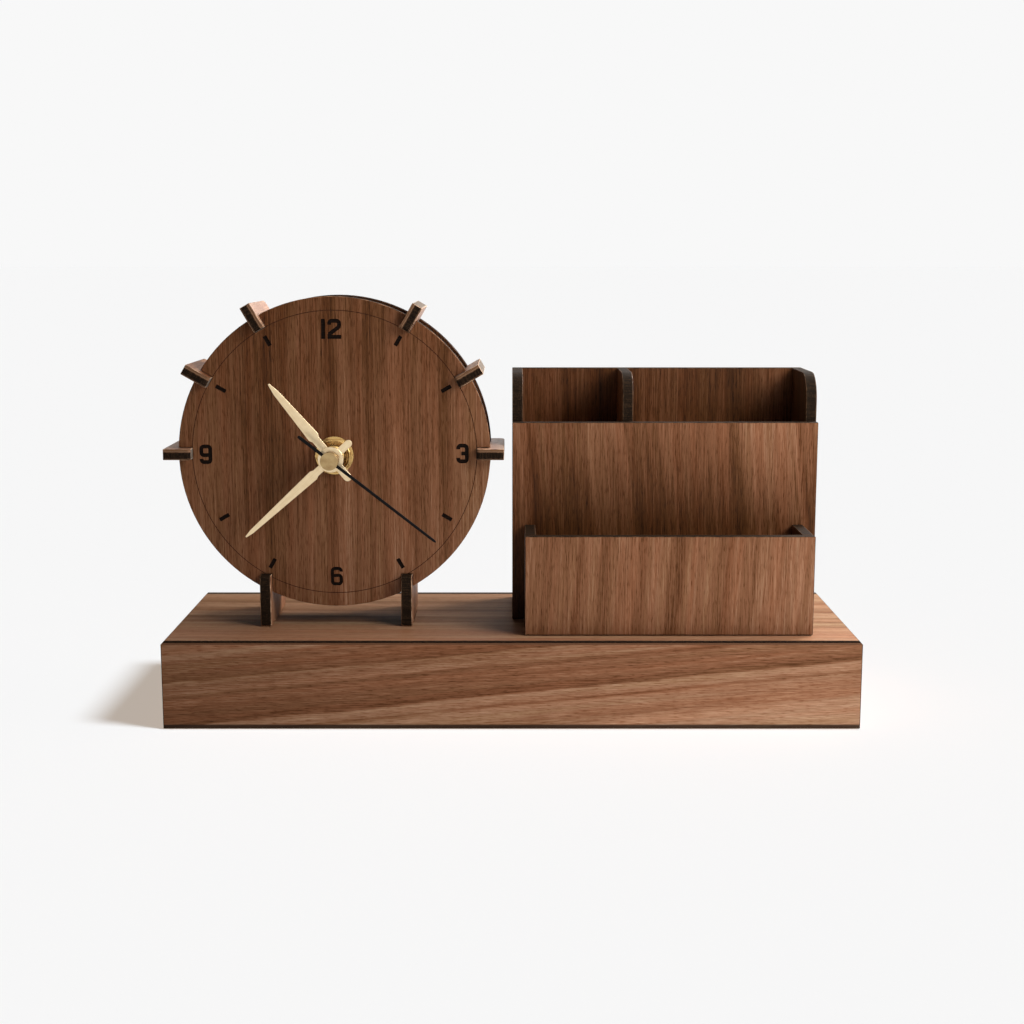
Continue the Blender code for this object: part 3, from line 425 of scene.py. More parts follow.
@dataclass(frozen=True)
class CharredEdge(Finish):
    """The edge that the laser leaves on a veneered fibreboard: a charred core between two browner veneers.

    The eye gets near-black with a fine speckle of fibres. Towards one face the char was rubbed off to the
    brown of the board, and a thin paler line shows where each veneer is glued on. Layers are given in
    millimetres of depth, counted from the middle of the board towards the rubbed face.
    """

    layers: Stops = (
        (-2.0, "#3E2A1C"),
        (-1.74, "#20140C"),
        (-1.6, "#6A4E3A"),
        (-1.46, "#160D07"),
        (0.5, "#140C06"),
        (0.8, "#4A3122"),
        (1.06, "#8A6A50"),
        (1.3, "#5E4130"),
        (1.76, "#7A583F"),
        (1.86, "#3A2618"),
    )
    rubbed: float = 1.0
    thickness: float = 4.0
    speckle: str = "#5E4632"

    def surface(self, tree: NodeTree) -> Inputs:
        """The burnt edge, read from the depth below the board's faces.

        Args:
            tree: The material's node tree.

        Returns:
            What feeds the shader's inputs.
        """
        sheet = add(tree, "ShaderNodeAttribute", {"attribute_name": SHEET}).outputs["Vector"]
        depth = add(tree, "ShaderNodeSeparateXYZ", links={0: sheet}).outputs["Z"]
        ragged = add(
            tree, "ShaderNodeTexNoise", links={"Vector": sheet, "Scale": 0.9, "Detail": 2}
        ).outputs[0]
        level = add(tree, "ShaderNodeMath", MULTIPLY, {0: depth, 1: self.rubbed}).outputs[0]
        level = add(tree, "ShaderNodeMath", MULTIPLY_ADD, {0: ragged, 1: 0.5, 2: level}).outputs[0]
        # The ragged noise adds a quarter of a millimetre on average, which is taken off here
        half = self.thickness / 2
        span = {0: level, 1: 0.25 - half, 2: 0.25 + half, **FROM_ZERO_TO_ONE}
        reach = add(tree, "ShaderNodeMapRange", links=span).outputs[0]
        stops = coloured([((place + half) / self.thickness, code) for place, code in self.layers])
        colour = add(tree, "ShaderNodeValToRGB", links={0: reach}, stops=stops).outputs[0]
        # The beam leaves marks straight through the board about 0.4 mm apart
        streaked = add(
            tree, "ShaderNodeMapping", links={"Vector": sheet, "Scale": (2.2, 2.2, 0.16)}
        ).outputs[0]
        marks = add(
            tree, "ShaderNodeTexNoise", links={"Vector": streaked, "Scale": 1, "Detail": 2}
        ).outputs[0]
        fibres = add(
            tree, "ShaderNodeTexNoise", links={"Vector": sheet, "Scale": 3.2, "Detail": 1}
        ).outputs[0]
        specks = add(tree, "ShaderNodeMath", MULTIPLY, {0: marks, 1: fibres}).outputs[0]
        amount = add(
            tree, "ShaderNodeMapRange", links={0: specks, 1: 0.22, 2: 0.4, 3: 0.0, 4: 0.28}
        ).outputs[0]
        mixed = add(tree, "ShaderNodeMix", MIX_COLOURS, {0: amount, 6: colour, 7: linear(self.speckle)})
        relief = add(tree, "ShaderNodeBump", links={"Height": specks, "Strength": 0.6, "Distance": 0.00012})
        return {
            "Base Color": mixed.outputs[2],
            "Roughness": add(
                tree, "ShaderNodeMapRange", links={0: marks, **NOISE_SPAN, 3: 0.55, 4: 0.8}
            ).outputs[0],
            "Specular IOR Level": 0.04,
            "Normal": relief.outputs[0],
        }


@dataclass(frozen=True)
class SandedArris(Finish):
    """The corner between face and edge, singed by the beam or rubbed off by hand until it shows paler."""

    pale: str = "#BC987A"
    dark: str = "#5A3E2C"
    sheen: float = 0.15

    def surface(self, tree: NodeTree) -> Inputs:
        """The rubbed corner, with worn and burnt lengths a few millimetres long.

        Args:
            tree: The material's node tree.

        Returns:
            What feeds the shader's inputs.
        """
        sheet = add(tree, "ShaderNodeAttribute", {"attribute_name": SHEET}).outputs["Vector"]
        worn = add(tree, "ShaderNodeTexNoise", links={"Vector": sheet, "Scale": 0.35, "Detail": 3}).outputs[0]
        stops = coloured([(0.38, self.dark), (0.6, self.pale)])
        return {
            "Base Color": add(tree, "ShaderNodeValToRGB", links={0: worn}, stops=stops).outputs[0],
            "Roughness": add(
                tree, "ShaderNodeMapRange", links={0: worn, **NOISE_SPAN, 3: 0.6, 4: 0.5}
            ).outputs[0],
            "Specular IOR Level": self.sheen,
        }


@dataclass(frozen=True)
class LaserEngraving(Finish):
    """Veneer burnt away by a defocused laser: dull, sooty, with the scan lines of the beam just visible."""

    burnt: str = "#0B0705"
    faded: str = "#251710"
    line_spacing: float = 0.3

    def surface(self, tree: NodeTree) -> Inputs:
        """The engraved floor. Scan lines are 0.1 mm apart, drawn at 0.3 mm to show.

        Args:
            tree: The material's node tree.

        Returns:
            What feeds the shader's inputs.
        """
        place = add(tree, "ShaderNodeTexCoord").outputs["Object"]
        lines = 1 / (self.line_spacing * MM)
        scans = add(
            tree,
            "ShaderNodeTexWave",
            {"bands_direction": "Z"},
            {"Vector": place, "Scale": lines / math.tau, "Distortion": 1.5, "Detail": 1},
        ).outputs["Fac"]
        soot_and_painted_shadow = add(tree, "ShaderNodeTexNoise", links={"Vector": place, "Scale": 900, "Detail": 3}).outputs[0]
        sooty = add(tree, "ShaderNodeMath", MULTIPLY, {0: scans, 1: soot_and_painted_shadow}).outputs[0]
        stops = coloured([(0.1, self.burnt), (0.7, self.faded)])
        relief = add(tree, "ShaderNodeBump", links={"Height": sooty, "Strength": 0.5, "Distance": 0.00005})
        return {
            "Base Color": add(tree, "ShaderNodeValToRGB", links={0: sooty}, stops=stops).outputs[0],
            "Roughness": add(
                tree, "ShaderNodeMapRange", links={0: soot_and_painted_shadow, **NOISE_SPAN, 3: 0.75, 4: 0.92}
            ).outputs[0],
            "Specular IOR Level": 0.05,
            "Normal": relief.outputs[0],
        }


@dataclass(frozen=True)
class BrushedMetal(Finish):
    """Sheet metal with a fine satin from brushing along one direction.

    The eye gets soft streaks that catch light across the brushing, and a slightly duller tone in blotches. A
    streak has a length and a width in millimetres.
    """

    light: str = "#EAD3AC"
    dark: str = "#DCC39B"
    roughness: float = 0.36
    length: float = 9.0
    width: float = 0.35

    def surface(self, tree: NodeTree) -> Inputs:
        """The metal, brushed along the sheet coordinate's first axis.

        Args:
            tree: The material's node tree.

        Returns:
            What feeds the shader's inputs.
        """
        sheet = add(tree, "ShaderNodeAttribute", {"attribute_name": SHEET}).outputs["Vector"]
        scale = (1 / self.length, 1 / self.width, 1 / self.width)
        drawn = add(tree, "ShaderNodeMapping", links={"Vector": sheet, "Scale": scale}).outputs[0]
        brushing = add(
            tree, "ShaderNodeTexNoise", links={"Vector": drawn, "Scale": 1, "Detail": 3}
        ).outputs[0]
        blotches = add(
            tree, "ShaderNodeTexNoise", links={"Vector": sheet, "Scale": 0.45, "Detail": 2}
        ).outputs[0]
        blend = add(tree, "ShaderNodeMath", MULTIPLY, {0: brushing, 1: 0.5}).outputs[0]
        blend = add(tree, "ShaderNodeMath", MULTIPLY_ADD, {0: blotches, 1: 0.5, 2: blend}).outputs[0]
        stops = coloured([(0.36, self.dark), (0.62, self.light)])
        polish = {0: blend, **NOISE_SPAN, 3: self.roughness + 0.07, 4: self.roughness - 0.05}
        relief = add(
            tree, "ShaderNodeBump", links={"Height": brushing, "Strength": 0.25, "Distance": 0.00003}
        )
        return {
            "Base Color": add(tree, "ShaderNodeValToRGB", links={0: blend}, stops=stops).outputs[0],
            "Metallic": 1.0,
            "Roughness": add(tree, "ShaderNodeMapRange", links=polish).outputs[0],
            "Normal": relief.outputs[0],
        }


@dataclass(frozen=True)
class TurnedMetal(Finish):
    """Metal cut or stamped on a machine.

    The eye gets bright metal with fine marks, and tarnish in blotches of about 4 mm. Where it is ringed, tool
    marks about 0.9 mm apart run round the clock's shaft.
    """

    light: str = "#DCC080"
    dark: str = "#B89450"
    roughness: float = 0.22
    grain: float = 0.5
    ringed: bool = False

    def surface(self, tree: NodeTree) -> Inputs:
        """The machined metal in object coordinates. Its marks are 0.1 mm apart, drawn coarser to show.

        Args:
            tree: The material's node tree.

        Returns:
            What feeds the shader's inputs.
        """
        place = add(tree, "ShaderNodeTexCoord").outputs["Object"]
        fine = {"Vector": place, "Scale": 1 / (self.grain * MM), "Detail": 3}
        marks = add(tree, "ShaderNodeTexNoise", links=fine).outputs[0]
        tarnish = add(
            tree, "ShaderNodeTexNoise", links={"Vector": place, "Scale": 240, "Detail": 2}
        ).outputs[0]
        if self.ringed:
            about = add(
                tree, "ShaderNodeMapping", links={"Vector": place, "Location": -SHAFT * MM}
            ).outputs[0]
            rings = add(
                tree,
                "ShaderNodeTexWave",
                {"wave_type": "RINGS", "rings_direction": "Y"},
                {"Vector": about, "Scale": 350, "Distortion": 1.2, "Detail": 1},
            ).outputs["Fac"]
            tarnish = add(tree, "ShaderNodeMath", MULTIPLY_ADD, {0: rings, 1: 0.26, 2: tarnish}).outputs[0]
        stops = coloured([(0.35, self.dark), (0.6, self.light)])
        polish = {0: marks, **NOISE_SPAN, 3: self.roughness - 0.06, 4: self.roughness + 0.1}
        relief = add(tree, "ShaderNodeBump", links={"Height": marks, "Strength": 0.2, "Distance": 0.00003})
        return {
            "Base Color": add(tree, "ShaderNodeValToRGB", links={0: tarnish}, stops=stops).outputs[0],
            "Metallic": 1.0,
            "Roughness": add(tree, "ShaderNodeMapRange", links=polish).outputs[0],
            "Normal": relief.outputs[0],
        }


@dataclass(frozen=True)
class MouldedPlastic(Finish):
    """Injection-moulded plastic: an even colour with a fine spark-eroded grain and a dull sheen."""

    colour: str = "#1C1C1E"
    worn: str = "#2A2A2C"
    roughness: float = 0.48
    grain: float = 0.35
    sink: float = 0.00004
    sheen: float = 0.5

    def surface(self, tree: NodeTree) -> Inputs:
        """The plastic. Its grain is 0.1 mm, drawn coarser to show.

        Args:
            tree: The material's node tree.

        Returns:
            What feeds the shader's inputs.
        """
        place = add(tree, "ShaderNodeTexCoord").outputs["Object"]
        fine = {"Vector": place, "Scale": 1 / (self.grain * MM), "Detail": 2}
        pitted = add(tree, "ShaderNodeTexNoise", links=fine).outputs[0]
        handled = add(
            tree, "ShaderNodeTexNoise", links={"Vector": place, "Scale": 120, "Detail": 2}
        ).outputs[0]
        stops = coloured([(0.4, self.colour), (0.7, self.worn)])
        polish = {0: handled, **NOISE_SPAN, 3: self.roughness + 0.06, 4: self.roughness - 0.06}
        relief = add(tree, "ShaderNodeBump", links={"Height": pitted, "Strength": 0.4, "Distance": self.sink})
        return {
            "Base Color": add(tree, "ShaderNodeValToRGB", links={0: handled}, stops=stops).outputs[0],
            "Roughness": add(tree, "ShaderNodeMapRange", links=polish).outputs[0],
            "Specular IOR Level": self.sheen,
            "Normal": relief.outputs[0],
        }


@dataclass(frozen=True)
class CopperWinding(Finish):
    """Enamelled copper wire, wound in close turns along X, which the eye gets as fine bright lines."""

    wire: float = 0.25

    def surface(self, tree: NodeTree) -> Inputs:
        """The winding. The wire is 0.05 mm thick, drawn at 0.25 mm to show.

        Args:
            tree: The material's node tree.

        Returns:
            What feeds the shader's inputs.
        """
        place = add(tree, "ShaderNodeTexCoord").outputs["Object"]
        turns = add(
            tree,
            "ShaderNodeTexWave",
            {"bands_direction": "X"},
            {"Vector": place, "Scale": 1 / (self.wire * MM * math.tau), "Distortion": 0.4},
        ).outputs["Fac"]
        stops = coloured([(0.1, "#6A2E14"), (0.7, "#C8703C")])
        relief = add(tree, "ShaderNodeBump", links={"Height": turns, "Strength": 0.7, "Distance": 0.0001})
        return {
            "Base Color": add(tree, "ShaderNodeValToRGB", links={0: turns}, stops=stops).outputs[0],
            "Metallic": 0.9,
            "Roughness": 0.3,
            "Normal": relief.outputs[0],
        }


@dataclass(frozen=True)
class CircuitLaminate(Finish):
    """Glass-cloth laminate under green solder resist, with tracks that show as paler lines."""

    track: float = 2.2

    def surface(self, tree: NodeTree) -> Inputs:
        """The laminate, with tracks between cells of a Voronoi pattern.

        Args:
            tree: The material's node tree.

        Returns:
            What feeds the shader's inputs.
        """
        place = add(tree, "ShaderNodeTexCoord").outputs["Object"]
        edges = add(
            tree,
            "ShaderNodeTexVoronoi",
            {"feature": "DISTANCE_TO_EDGE"},
            {"Vector": place, "Scale": 1 / (self.track * MM)},
        ).outputs[0]
        tracks = add(tree, "ShaderNodeMapRange", links={0: edges, 1: 0.06, 2: 0.1, 3: 1.0, 4: 0.0}).outputs[0]
        colours = {0: tracks, 6: linear("#1E5A34"), 7: linear("#3F8A52")}
        relief = add(tree, "ShaderNodeBump", links={"Height": tracks, "Strength": 0.6, "Distance": 0.00004})
        return {
            "Base Color": add(tree, "ShaderNodeMix", MIX_COLOURS, colours).outputs[2],
            "Roughness": 0.35,
            "Normal": relief.outputs[0],
        }


@dataclass(frozen=True)
class CellSleeve(Finish):
    """A dry cell's plastic sleeve, shrunk on and printed with two plain fields.

    The dark field ends so many millimetres to the right of the dial's centre, where the copper-coloured one
    starts.
    """

    split: float = 8.0

    def surface(self, tree: NodeTree) -> Inputs:
        """The sleeve: a dark field towards the negative end and a copper-coloured one towards the positive.

        Args:
            tree: The material's node tree.

        Returns:
            What feeds the shader's inputs.
        """
        place = add(tree, "ShaderNodeTexCoord").outputs["Object"]
        reach = add(tree, "ShaderNodeSeparateXYZ", links={0: place}).outputs["X"]
        ends = {0: reach, 1: (ClockCentre.X + self.split) * MM}
        printed = add(tree, "ShaderNodeMath", {"operation": "GREATER_THAN"}, ends).outputs[0]
        shrink = add(
            tree, "ShaderNodeTexNoise", links={"Vector": place, "Scale": 300, "Detail": 2}
        ).outputs[0]
        colours = {0: printed, 6: linear("#2A2E33"), 7: linear("#B07A4A")}
        relief = add(tree, "ShaderNodeBump", links={"Height": shrink, "Strength": 0.3, "Distance": 0.00005})
        return {
            "Base Color": add(tree, "ShaderNodeMix", MIX_COLOURS, colours).outputs[2],
            "Roughness": add(
                tree, "ShaderNodeMapRange", links={0: shrink, **NOISE_SPAN, 3: 0.24, 4: 0.36}
            ).outputs[0],
            "Coat Weight": 0.4,
            "Normal": relief.outputs[0],
        }


@dataclass(frozen=True)
class StudioPaper(Finish):
    """Matt white paper under the object.

    For diffuse rays only, which light the object, it glows towards the right as painted bounce light and is
    darker towards the left as painted shade; the camera sees neither. Each of the two changes from one
    strength to another between two places along X, in metres.
    """

    colour: str = "#F0F0F0"
    bounce: Pair = (0.0, 1.4)
    bounce_reach: Pair = (-0.2, 0.25)
    spared: Pair = (0.75, 0.0)
    spared_reach: Pair = (-0.25, 0.05)

    def surface(self, tree: NodeTree) -> Inputs:
        """The paper. Only rays that light something else see its painted glow and painted shade.

        Args:
            tree: The material's node tree.

        Returns:
            What feeds the shader's inputs.
        """
        place = add(tree, "ShaderNodeTexCoord").outputs["Object"]
        fibres = add(tree, "ShaderNodeTexNoise", links={"Vector": place, "Scale": 40, "Detail": 2}).outputs[0]
        reach = add(tree, "ShaderNodeSeparateXYZ", links={0: place}).outputs["X"]
        thrown = add(tree, "ShaderNodeLightPath").outputs["Is Diffuse Ray"]
        # Painted bounce light that the paper glows with, and painted shade that dims it at the left, both for
        # diffuse rays only
        painted_glow, less = (
            add(
                tree,
                "ShaderNodeMath",
                MULTIPLY,
                {
                    0: add(
                        tree, "ShaderNodeMapRange", links={0: reach, 1: left, 2: right, 3: low, 4: high}
                    ).outputs[0],
                    1: thrown,
                },
            ).outputs[0]
            for (left, right), (low, high) in (
                (self.bounce_reach, self.bounce), (self.spared_reach, self.spared)
            )
        )
        shades = {0: less, 6: linear(self.colour), 7: linear("#000000")}
        return {
            "Base Color": add(tree, "ShaderNodeMix", MIX_COLOURS, shades).outputs[2],
            "Roughness": add(
                tree, "ShaderNodeMapRange", links={0: fibres, **NOISE_SPAN, 3: 0.9, 4: 1.0}
            ).outputs[0],
            "Specular IOR Level": 0.0,
            "Emission Strength": painted_glow,
            "Emission Color": linear("#FFFFFF"),
        }


# Leaves of walnut: plain; darker as painted shade in the holder's compartments and the tray's sides; darkest
# as painted shadow on the rear disc's front and the holder's right panel; and paler as painted light on the
# tabs and the legs
PLAIN_VENEER = Veneer("walnut_veneer_plain", seed=1.3)
SHADE_PAINTED_VENEER = Veneer("walnut_veneer_painted_shade", contrast=0.3, tone=0.28, seed=8.4)
SHADOW_PAINTED_VENEER = Veneer("walnut_veneer_painted_shadow", contrast=0.2, tone=0.1, seed=5.9)
LIGHT_PAINTED_VENEER = Veneer("walnut_veneer_painted_light", contrast=0.4, tone=0.68, sheen=0.9, seed=6.1)
LIGHT_PAINTED_LEG = Veneer("walnut_veneer_leg_painted_light", contrast=0.4, tone=0.49, seed=4.6)
# Cut edges: rubbed towards one face, the same turned over, evenly charred, and pale at the tabs' ends as
# painted highlight
EDGE = CharredEdge("charred_edge")
TURNED_EDGE = CharredEdge("charred_edge_turned", rubbed=-1.0)
EVEN_EDGE = CharredEdge(
    "charred_edge_even",
    layers=(
        (-2.0, "#4A3424"),
        (-1.86, "#7A5C44"),
        (-1.72, "#181009"),
        (1.6, "#160E08"),
        (1.72, "#5A4230"),
        (1.82, "#1E150E"),
    ),
)
HIGHLIGHT_PAINTED_END = CharredEdge(
    "charred_edge_painted_highlight",
    layers=((-2.0, "#564A40"), (-1.8, "#9A8E82"), (-1.5, "#62574D"), (1.5, "#6C6157"), (1.8, "#A4988C")),
)
# Mitred edges of the base: charred, and rubbed to brown along the front
CHAMFER = CharredEdge("charred_chamfer", layers=((-2.0, "#1E130C"), (2.0, "#1A100A")))
RUBBED_CHAMFER = CharredEdge("rubbed_chamfer", layers=((-2.0, "#5A3C2A"), (2.0, "#6A4833")))
# Corners: sanded until they show pale, sanded less on the dial, and left singed
ARRIS = SandedArris("sanded_veneer_arris")
DULL_ARRIS = SandedArris("sanded_dial_arris", pale="#8E6448", dark="#4E3422", sheen=0.04)
SINGED_ARRIS = SandedArris("singed_veneer_arris", pale="#4E3626", dark="#1C1009", sheen=0.04)
# Burnt marks: deep and sooty, and scored as one thin brown line
ENGRAVING = LaserEngraving("laser_engraved_walnut")
SCORING = LaserEngraving("laser_scored_walnut", burnt="#2E190F", faded="#4A2C1C")
# Brass: pale satin on the hands, duller on the turned cap, bright with tool marks on the dial's fixings
HAND_METAL = BrushedMetal("brushed_brass_hand")
CAP_METAL = BrushedMetal(
    "turned_brass_cap", light="#B49A6E", dark="#A0845C", roughness=0.44, length=2.0, width=2.0
)
BRASS = TurnedMetal("machined_brass", light="#C9A468", dark="#6E4E26", roughness=0.24, ringed=True)
# Steel: plated with nickel, and under a thin black lacquer that hardly shines
STEEL = TurnedMetal("nickel_plated_steel", light="#C9C9C6", dark="#9B9B99", roughness=0.26)
BLACK_LACQUER = MouldedPlastic(
    "black_lacquered_steel", "#070505", "#100C0A", 0.4, grain=0.5, sink=0.00002, sheen=0.1
)
# Moulded parts: the black case, the white wheels with their waxy sheen, and matt rubber
BLACK_ABS = MouldedPlastic("moulded_black_abs")
WHITE_POM = MouldedPlastic("moulded_white_acetal", "#E4E1D8", "#D6D2C6", roughness=0.38)
RUBBER = MouldedPlastic("moulded_black_rubber", "#1A1A1A", "#262626", roughness=0.82, grain=0.6)
# The coil, its circuit board and the cell, and the paper that the object stands on
COPPER = CopperWinding("enamelled_copper_winding")
LAMINATE = CircuitLaminate("green_circuit_laminate")
SLEEVE = CellSleeve("printed_cell_sleeve")
PAPER = StudioPaper("matt_paper_floor")


def activate(obj: Object) -> None:
    """Selects one object and nothing else, and makes it the active one.

    Args:
        obj: The object.
    """
    bpy.ops.object.select_all(action="DESELECT")
    obj.select_set(True)
    bpy.context.view_layer.objects.active = obj


def in_scene(name: str, data: bpy.types.ID) -> Object:
    """Puts a new object into the scene.

    Args:
        name: The object's name.
        data: Its mesh, lamp or camera.

    Returns:
        The new object, at the origin.
    """
    obj = bpy.data.objects.new(name, data)
    bpy.context.scene.collection.objects.link(obj)
    return obj


def coat(piece: Object, *finishes: Finish) -> None:
    """Gives a piece its finishes, one for each of its next material slots."""
    for finish in finishes:
        piece.data.materials.append(material_of(finish))


def in_edit_mode(obj: Object, steps: Callable[[], None]) -> None:
    """Runs steps in edit mode with everything selected.

    Args:
        obj: The object to edit.
        steps: What to do there.
    """
    activate(obj)
    bpy.ops.object.mode_set(mode="EDIT")
    bpy.ops.mesh.select_all(action="SELECT")
    steps()
    bpy.ops.object.mode_set(mode="OBJECT")


def apply_modifier(obj: Object, name: str) -> None:
    """Applies one modifier of an object."""
    activate(obj)
    bpy.ops.object.modifier_apply(modifier=name)


def face_outwards() -> None:
    """Merges what lies in one place and turns every face outwards, in edit mode."""
    bpy.ops.mesh.remove_doubles(threshold=MERGE_DISTANCE)
    bpy.ops.mesh.normals_make_consistent(inside=False)


def merged_copy(node: str, name: str) -> Object:
    """A copy of a CAD node with joined triangles and plain flat faces.

    Args:
        node: The CAD node.
        name: The copy's name.

    Returns:
        The new object, without materials.
    """
    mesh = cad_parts[node].data.copy()
    mesh.name = name
    mesh.materials.clear()
    piece = in_scene(name, mesh)

    def merge() -> None:
        """Joins the loose triangles and dissolves the edges between those in one plane."""
        bpy.ops.mesh.customdata_custom_splitnormals_clear()
        bpy.ops.mesh.remove_doubles(threshold=MERGE_DISTANCE)
        bpy.ops.mesh.dissolve_limited(angle_limit=FLAT_ANGLE, delimit=set())

    in_edit_mode(piece, merge)
    return piece


def bevel(piece: Object, width: float, segments: int = 1, slot: int = -1) -> None:
    """Breaks the sharp edges of a piece.

    Args:
        piece: The object.
        width: The bevel's width in millimetres.
        segments: How many faces make it round.
        slot: The material slot of the new faces, or -1 for that of their neighbours.
    """
    change = piece.modifiers.new("bevel", "BEVEL")
    change.width = width * MM
    change.segments = segments
    change.limit_method = "ANGLE"
    change.angle_limit = BEVEL_ANGLE
    change.material = slot
    change.harden_normals = False
    apply_modifier(piece, "bevel")


def smooth(piece: Object) -> None:
    """Shades round faces smooth and leaves corners sharp."""
    activate(piece)
    bpy.ops.object.shade_smooth_by_angle(angle=SMOOTH_ANGLE)


def mark_sheet(piece: Object, normal: Vector, grain: Vector, zero: Vector, middle: Vector) -> None:
    """Writes each point's place on its sheet: along the grain, across it, and through the thickness.

    Args:
        piece: The object.
        normal: Direction through the thickness.
        grain: Direction of the grain.
        zero: Where along and across count from, in millimetres.
        middle: A point half-way through the thickness, in millimetres.
    """
    across = normal.cross(grain)
    values: list[float] = []
    for vertex in piece.data.vertices:
        place = vertex.co / MM
        values += ((place - zero).dot(grain), (place - zero).dot(across), (place - middle).dot(normal))
    layer = piece.data.attributes.new(SHEET, "FLOAT_VECTOR", "POINT")
    layer.data.foreach_set("vector", values)


def stand_for(piece: Object, node: str, body: str) -> None:
    """Puts a piece in place of a CAD node.

    Args:
        piece: The object.
        node: The CAD node that it stands for.
        body: The body that it moves with.
    """
    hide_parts(node)
    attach(piece, body)
    log.info("%s stands for %s", piece.name, node)


def spun(
    name: str, profile: Sequence[Pair], centre: Vector, axis: Axis, steps: int, closed: bool = True
) -> Object:
    """A turned piece: an outline spun about an axis.

    Args:
        name: The piece's name.
        profile: Radius and distance along the axis of each corner, in millimetres.
        centre: A point of the axis, in millimetres.
        axis: The axis that it is spun about.
        steps: Faces round the piece.
        closed: Whether the outline's last corner joins its first.

    Returns:
        The new object, facing outwards.
    """
    direction = Vector(axis.value)
    outward = Vector(Axis.Z.value if axis is not Axis.Z else Axis.X.value)
    points = [(centre + outward * radius + direction * reach) * MM for radius, reach in profile]
    count = len(points)
    edges = [(i, (i + 1) % count) for i in range(count if closed else count - 1)]
    mesh = bpy.data.meshes.new(name)
    mesh.from_pydata(points, edges, [])
    piece = in_scene(name, mesh)

    def turn() -> None:
        """Spins the outline all the way round."""
        bpy.ops.mesh.spin(
            steps=steps, angle=math.tau, center=centre * MM, axis=direction, use_auto_merge=True
        )
        bpy.ops.mesh.select_all(action="SELECT")
        face_outwards()

    in_edit_mode(piece, turn)
    return piece


def cut(piece: Object, cutter: Object, overlapping: bool = False) -> None:
    """Cuts one object out of another. Faces that the cut makes keep the cutter's material.

    Args:
        piece: The object that is cut.
        cutter: The cutter, which is removed.
        overlapping: Whether solids of the cutter reach into each other.
    """
    change = piece.modifiers.new("cut", "BOOLEAN")
    change.operation = "DIFFERENCE"
    change.solver = "EXACT"
    change.use_self = overlapping
    change.material_mode = "TRANSFER"
    change.object = cutter
    apply_modifier(piece, "cut")
    used = cutter.data
    bpy.data.objects.remove(cutter)
    bpy.data.meshes.remove(used)


class BoardSlot(IntEnum):
    """Which material slot of a board holds what: its veneered faces, cut edges, corners or end grain."""

    FACE = 0
    EDGE = 1
    CORNER = 2
    END = 3


@dataclass(frozen=True)
class Board:
    """How one board was cut from its veneered sheet.

    The normal runs through its thickness. Millimetres along and across the grain count from zero, a point
    that sets which part of the leaf shows. The arris is how far its corners are broken.
    """

    node: str
    normal: Triple
    grain: Triple
    veneer: Veneer = PLAIN_VENEER
    zero: Triple = (0.0, 0.0, 0.0)
    arris: float = 0.18
    edge: CharredEdge = EVEN_EDGE
    corner: SandedArris = SINGED_ARRIS
    end: CharredEdge | None = None

    def build(self, treat: Callable[[Object], None] | None = None) -> None:
        """Makes the veneered board in place of its CAD node.

        Args:
            treat: Engraves the board, or darkens part of it as painted shadow, after its corners are broken.
        """
        normal, grain = Vector(self.normal), Vector(self.grain)
        piece = merged_copy(self.node, f"{self.node}_veneered")
        coat(piece, self.veneer, self.edge, self.corner, self.end or self.edge)
        facing = {BoardSlot.FACE: normal, BoardSlot.END: normal.cross(grain)}
        for face in piece.data.polygons:
            sides = (slot for slot, side in facing.items() if abs(face.normal.dot(side)) > VENEER_FACE)
            face.material_index = next(sides, BoardSlot.EDGE)
        if self.arris:
            bevel(piece, self.arris, slot=BoardSlot.CORNER)
        if treat:
            treat(piece)
        smooth(piece)
        low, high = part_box(self.node)
        mark_sheet(piece, normal, grain, Vector(self.zero), (low + high) / 2 / MM)
        stand_for(piece, self.node, "stand")


def dress(node: str, finish: Finish) -> None:
    """Gives a CAD node that stays its procedural material.

    Args:
        node: The CAD node.
        finish: Its finish.
    """
    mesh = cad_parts[node].data
    mesh.materials.clear()
    mesh.materials.append(material_of(finish))
    log.info("%s finished as %s", node, finish.name)


def arc(centre: Pair, radius: float, start: float, end: float, steps: int = 4) -> list[Pair]:
    """Points on an arc.

    Args:
        centre: The arc's centre.
        radius: Its radius.
        start: The first point's angle in degrees, anticlockwise from the right.
        end: The last point's angle.
        steps: Straight lengths that make it.

    Returns:
        The points, with both ends.
    """
    angles = [math.radians(start + (end - start) * i / steps) for i in range(steps + 1)]
    return [(centre[0] + radius * math.cos(a), centre[1] + radius * math.sin(a)) for a in angles]


X, Y, Z = Axis.X.value, Axis.Y.value, Axis.Z.value

# Broad bands of a leaf: millimetres across the grain, and the tone there
BASE_FRONT_BANDS: Bands = (
    (-13.0, 0.45), (-10.0, 0.6), (-6.0, 0.62), (-4.5, 0.42), (2.0, 0.33), (2.8, 0.2), (3.4, 0.5), (7.5, 0.52),
    (8.7, 0.32), (10.0, 0.42), (15.0, 0.35), (19.0, 0.22), (19.9, 0.62), (22.6, 0.6), (23.4, 0.38),
    (24.2, 0.6), (30.0, 0.55), (31.0, 0.45), (33.0, 0.62), (38.0, 0.7), (44.0, 0.68),
)


# Across the base top: the front strip is lighter as painted light and the bands behind it darker as painted
# shade of the legs and the dial, over the leaf's own bands
BASE_TOP_BANDS: Bands = (
    (-54.0, 0.52), (-42.0, 0.45), (-33.0, 0.48), (-31.5, 0.42), (-26.0, 0.5), (-24.5, 0.34), (-21.0, 0.42),
    (-16.0, 0.36), (-14.5, 0.52), (-8.0, 0.46), (-6.0, 0.3), (-2.0, 0.42), (6.0, 0.46), (8.0, 0.34),
    (14.0, 0.44), (30.0, 0.48),
)


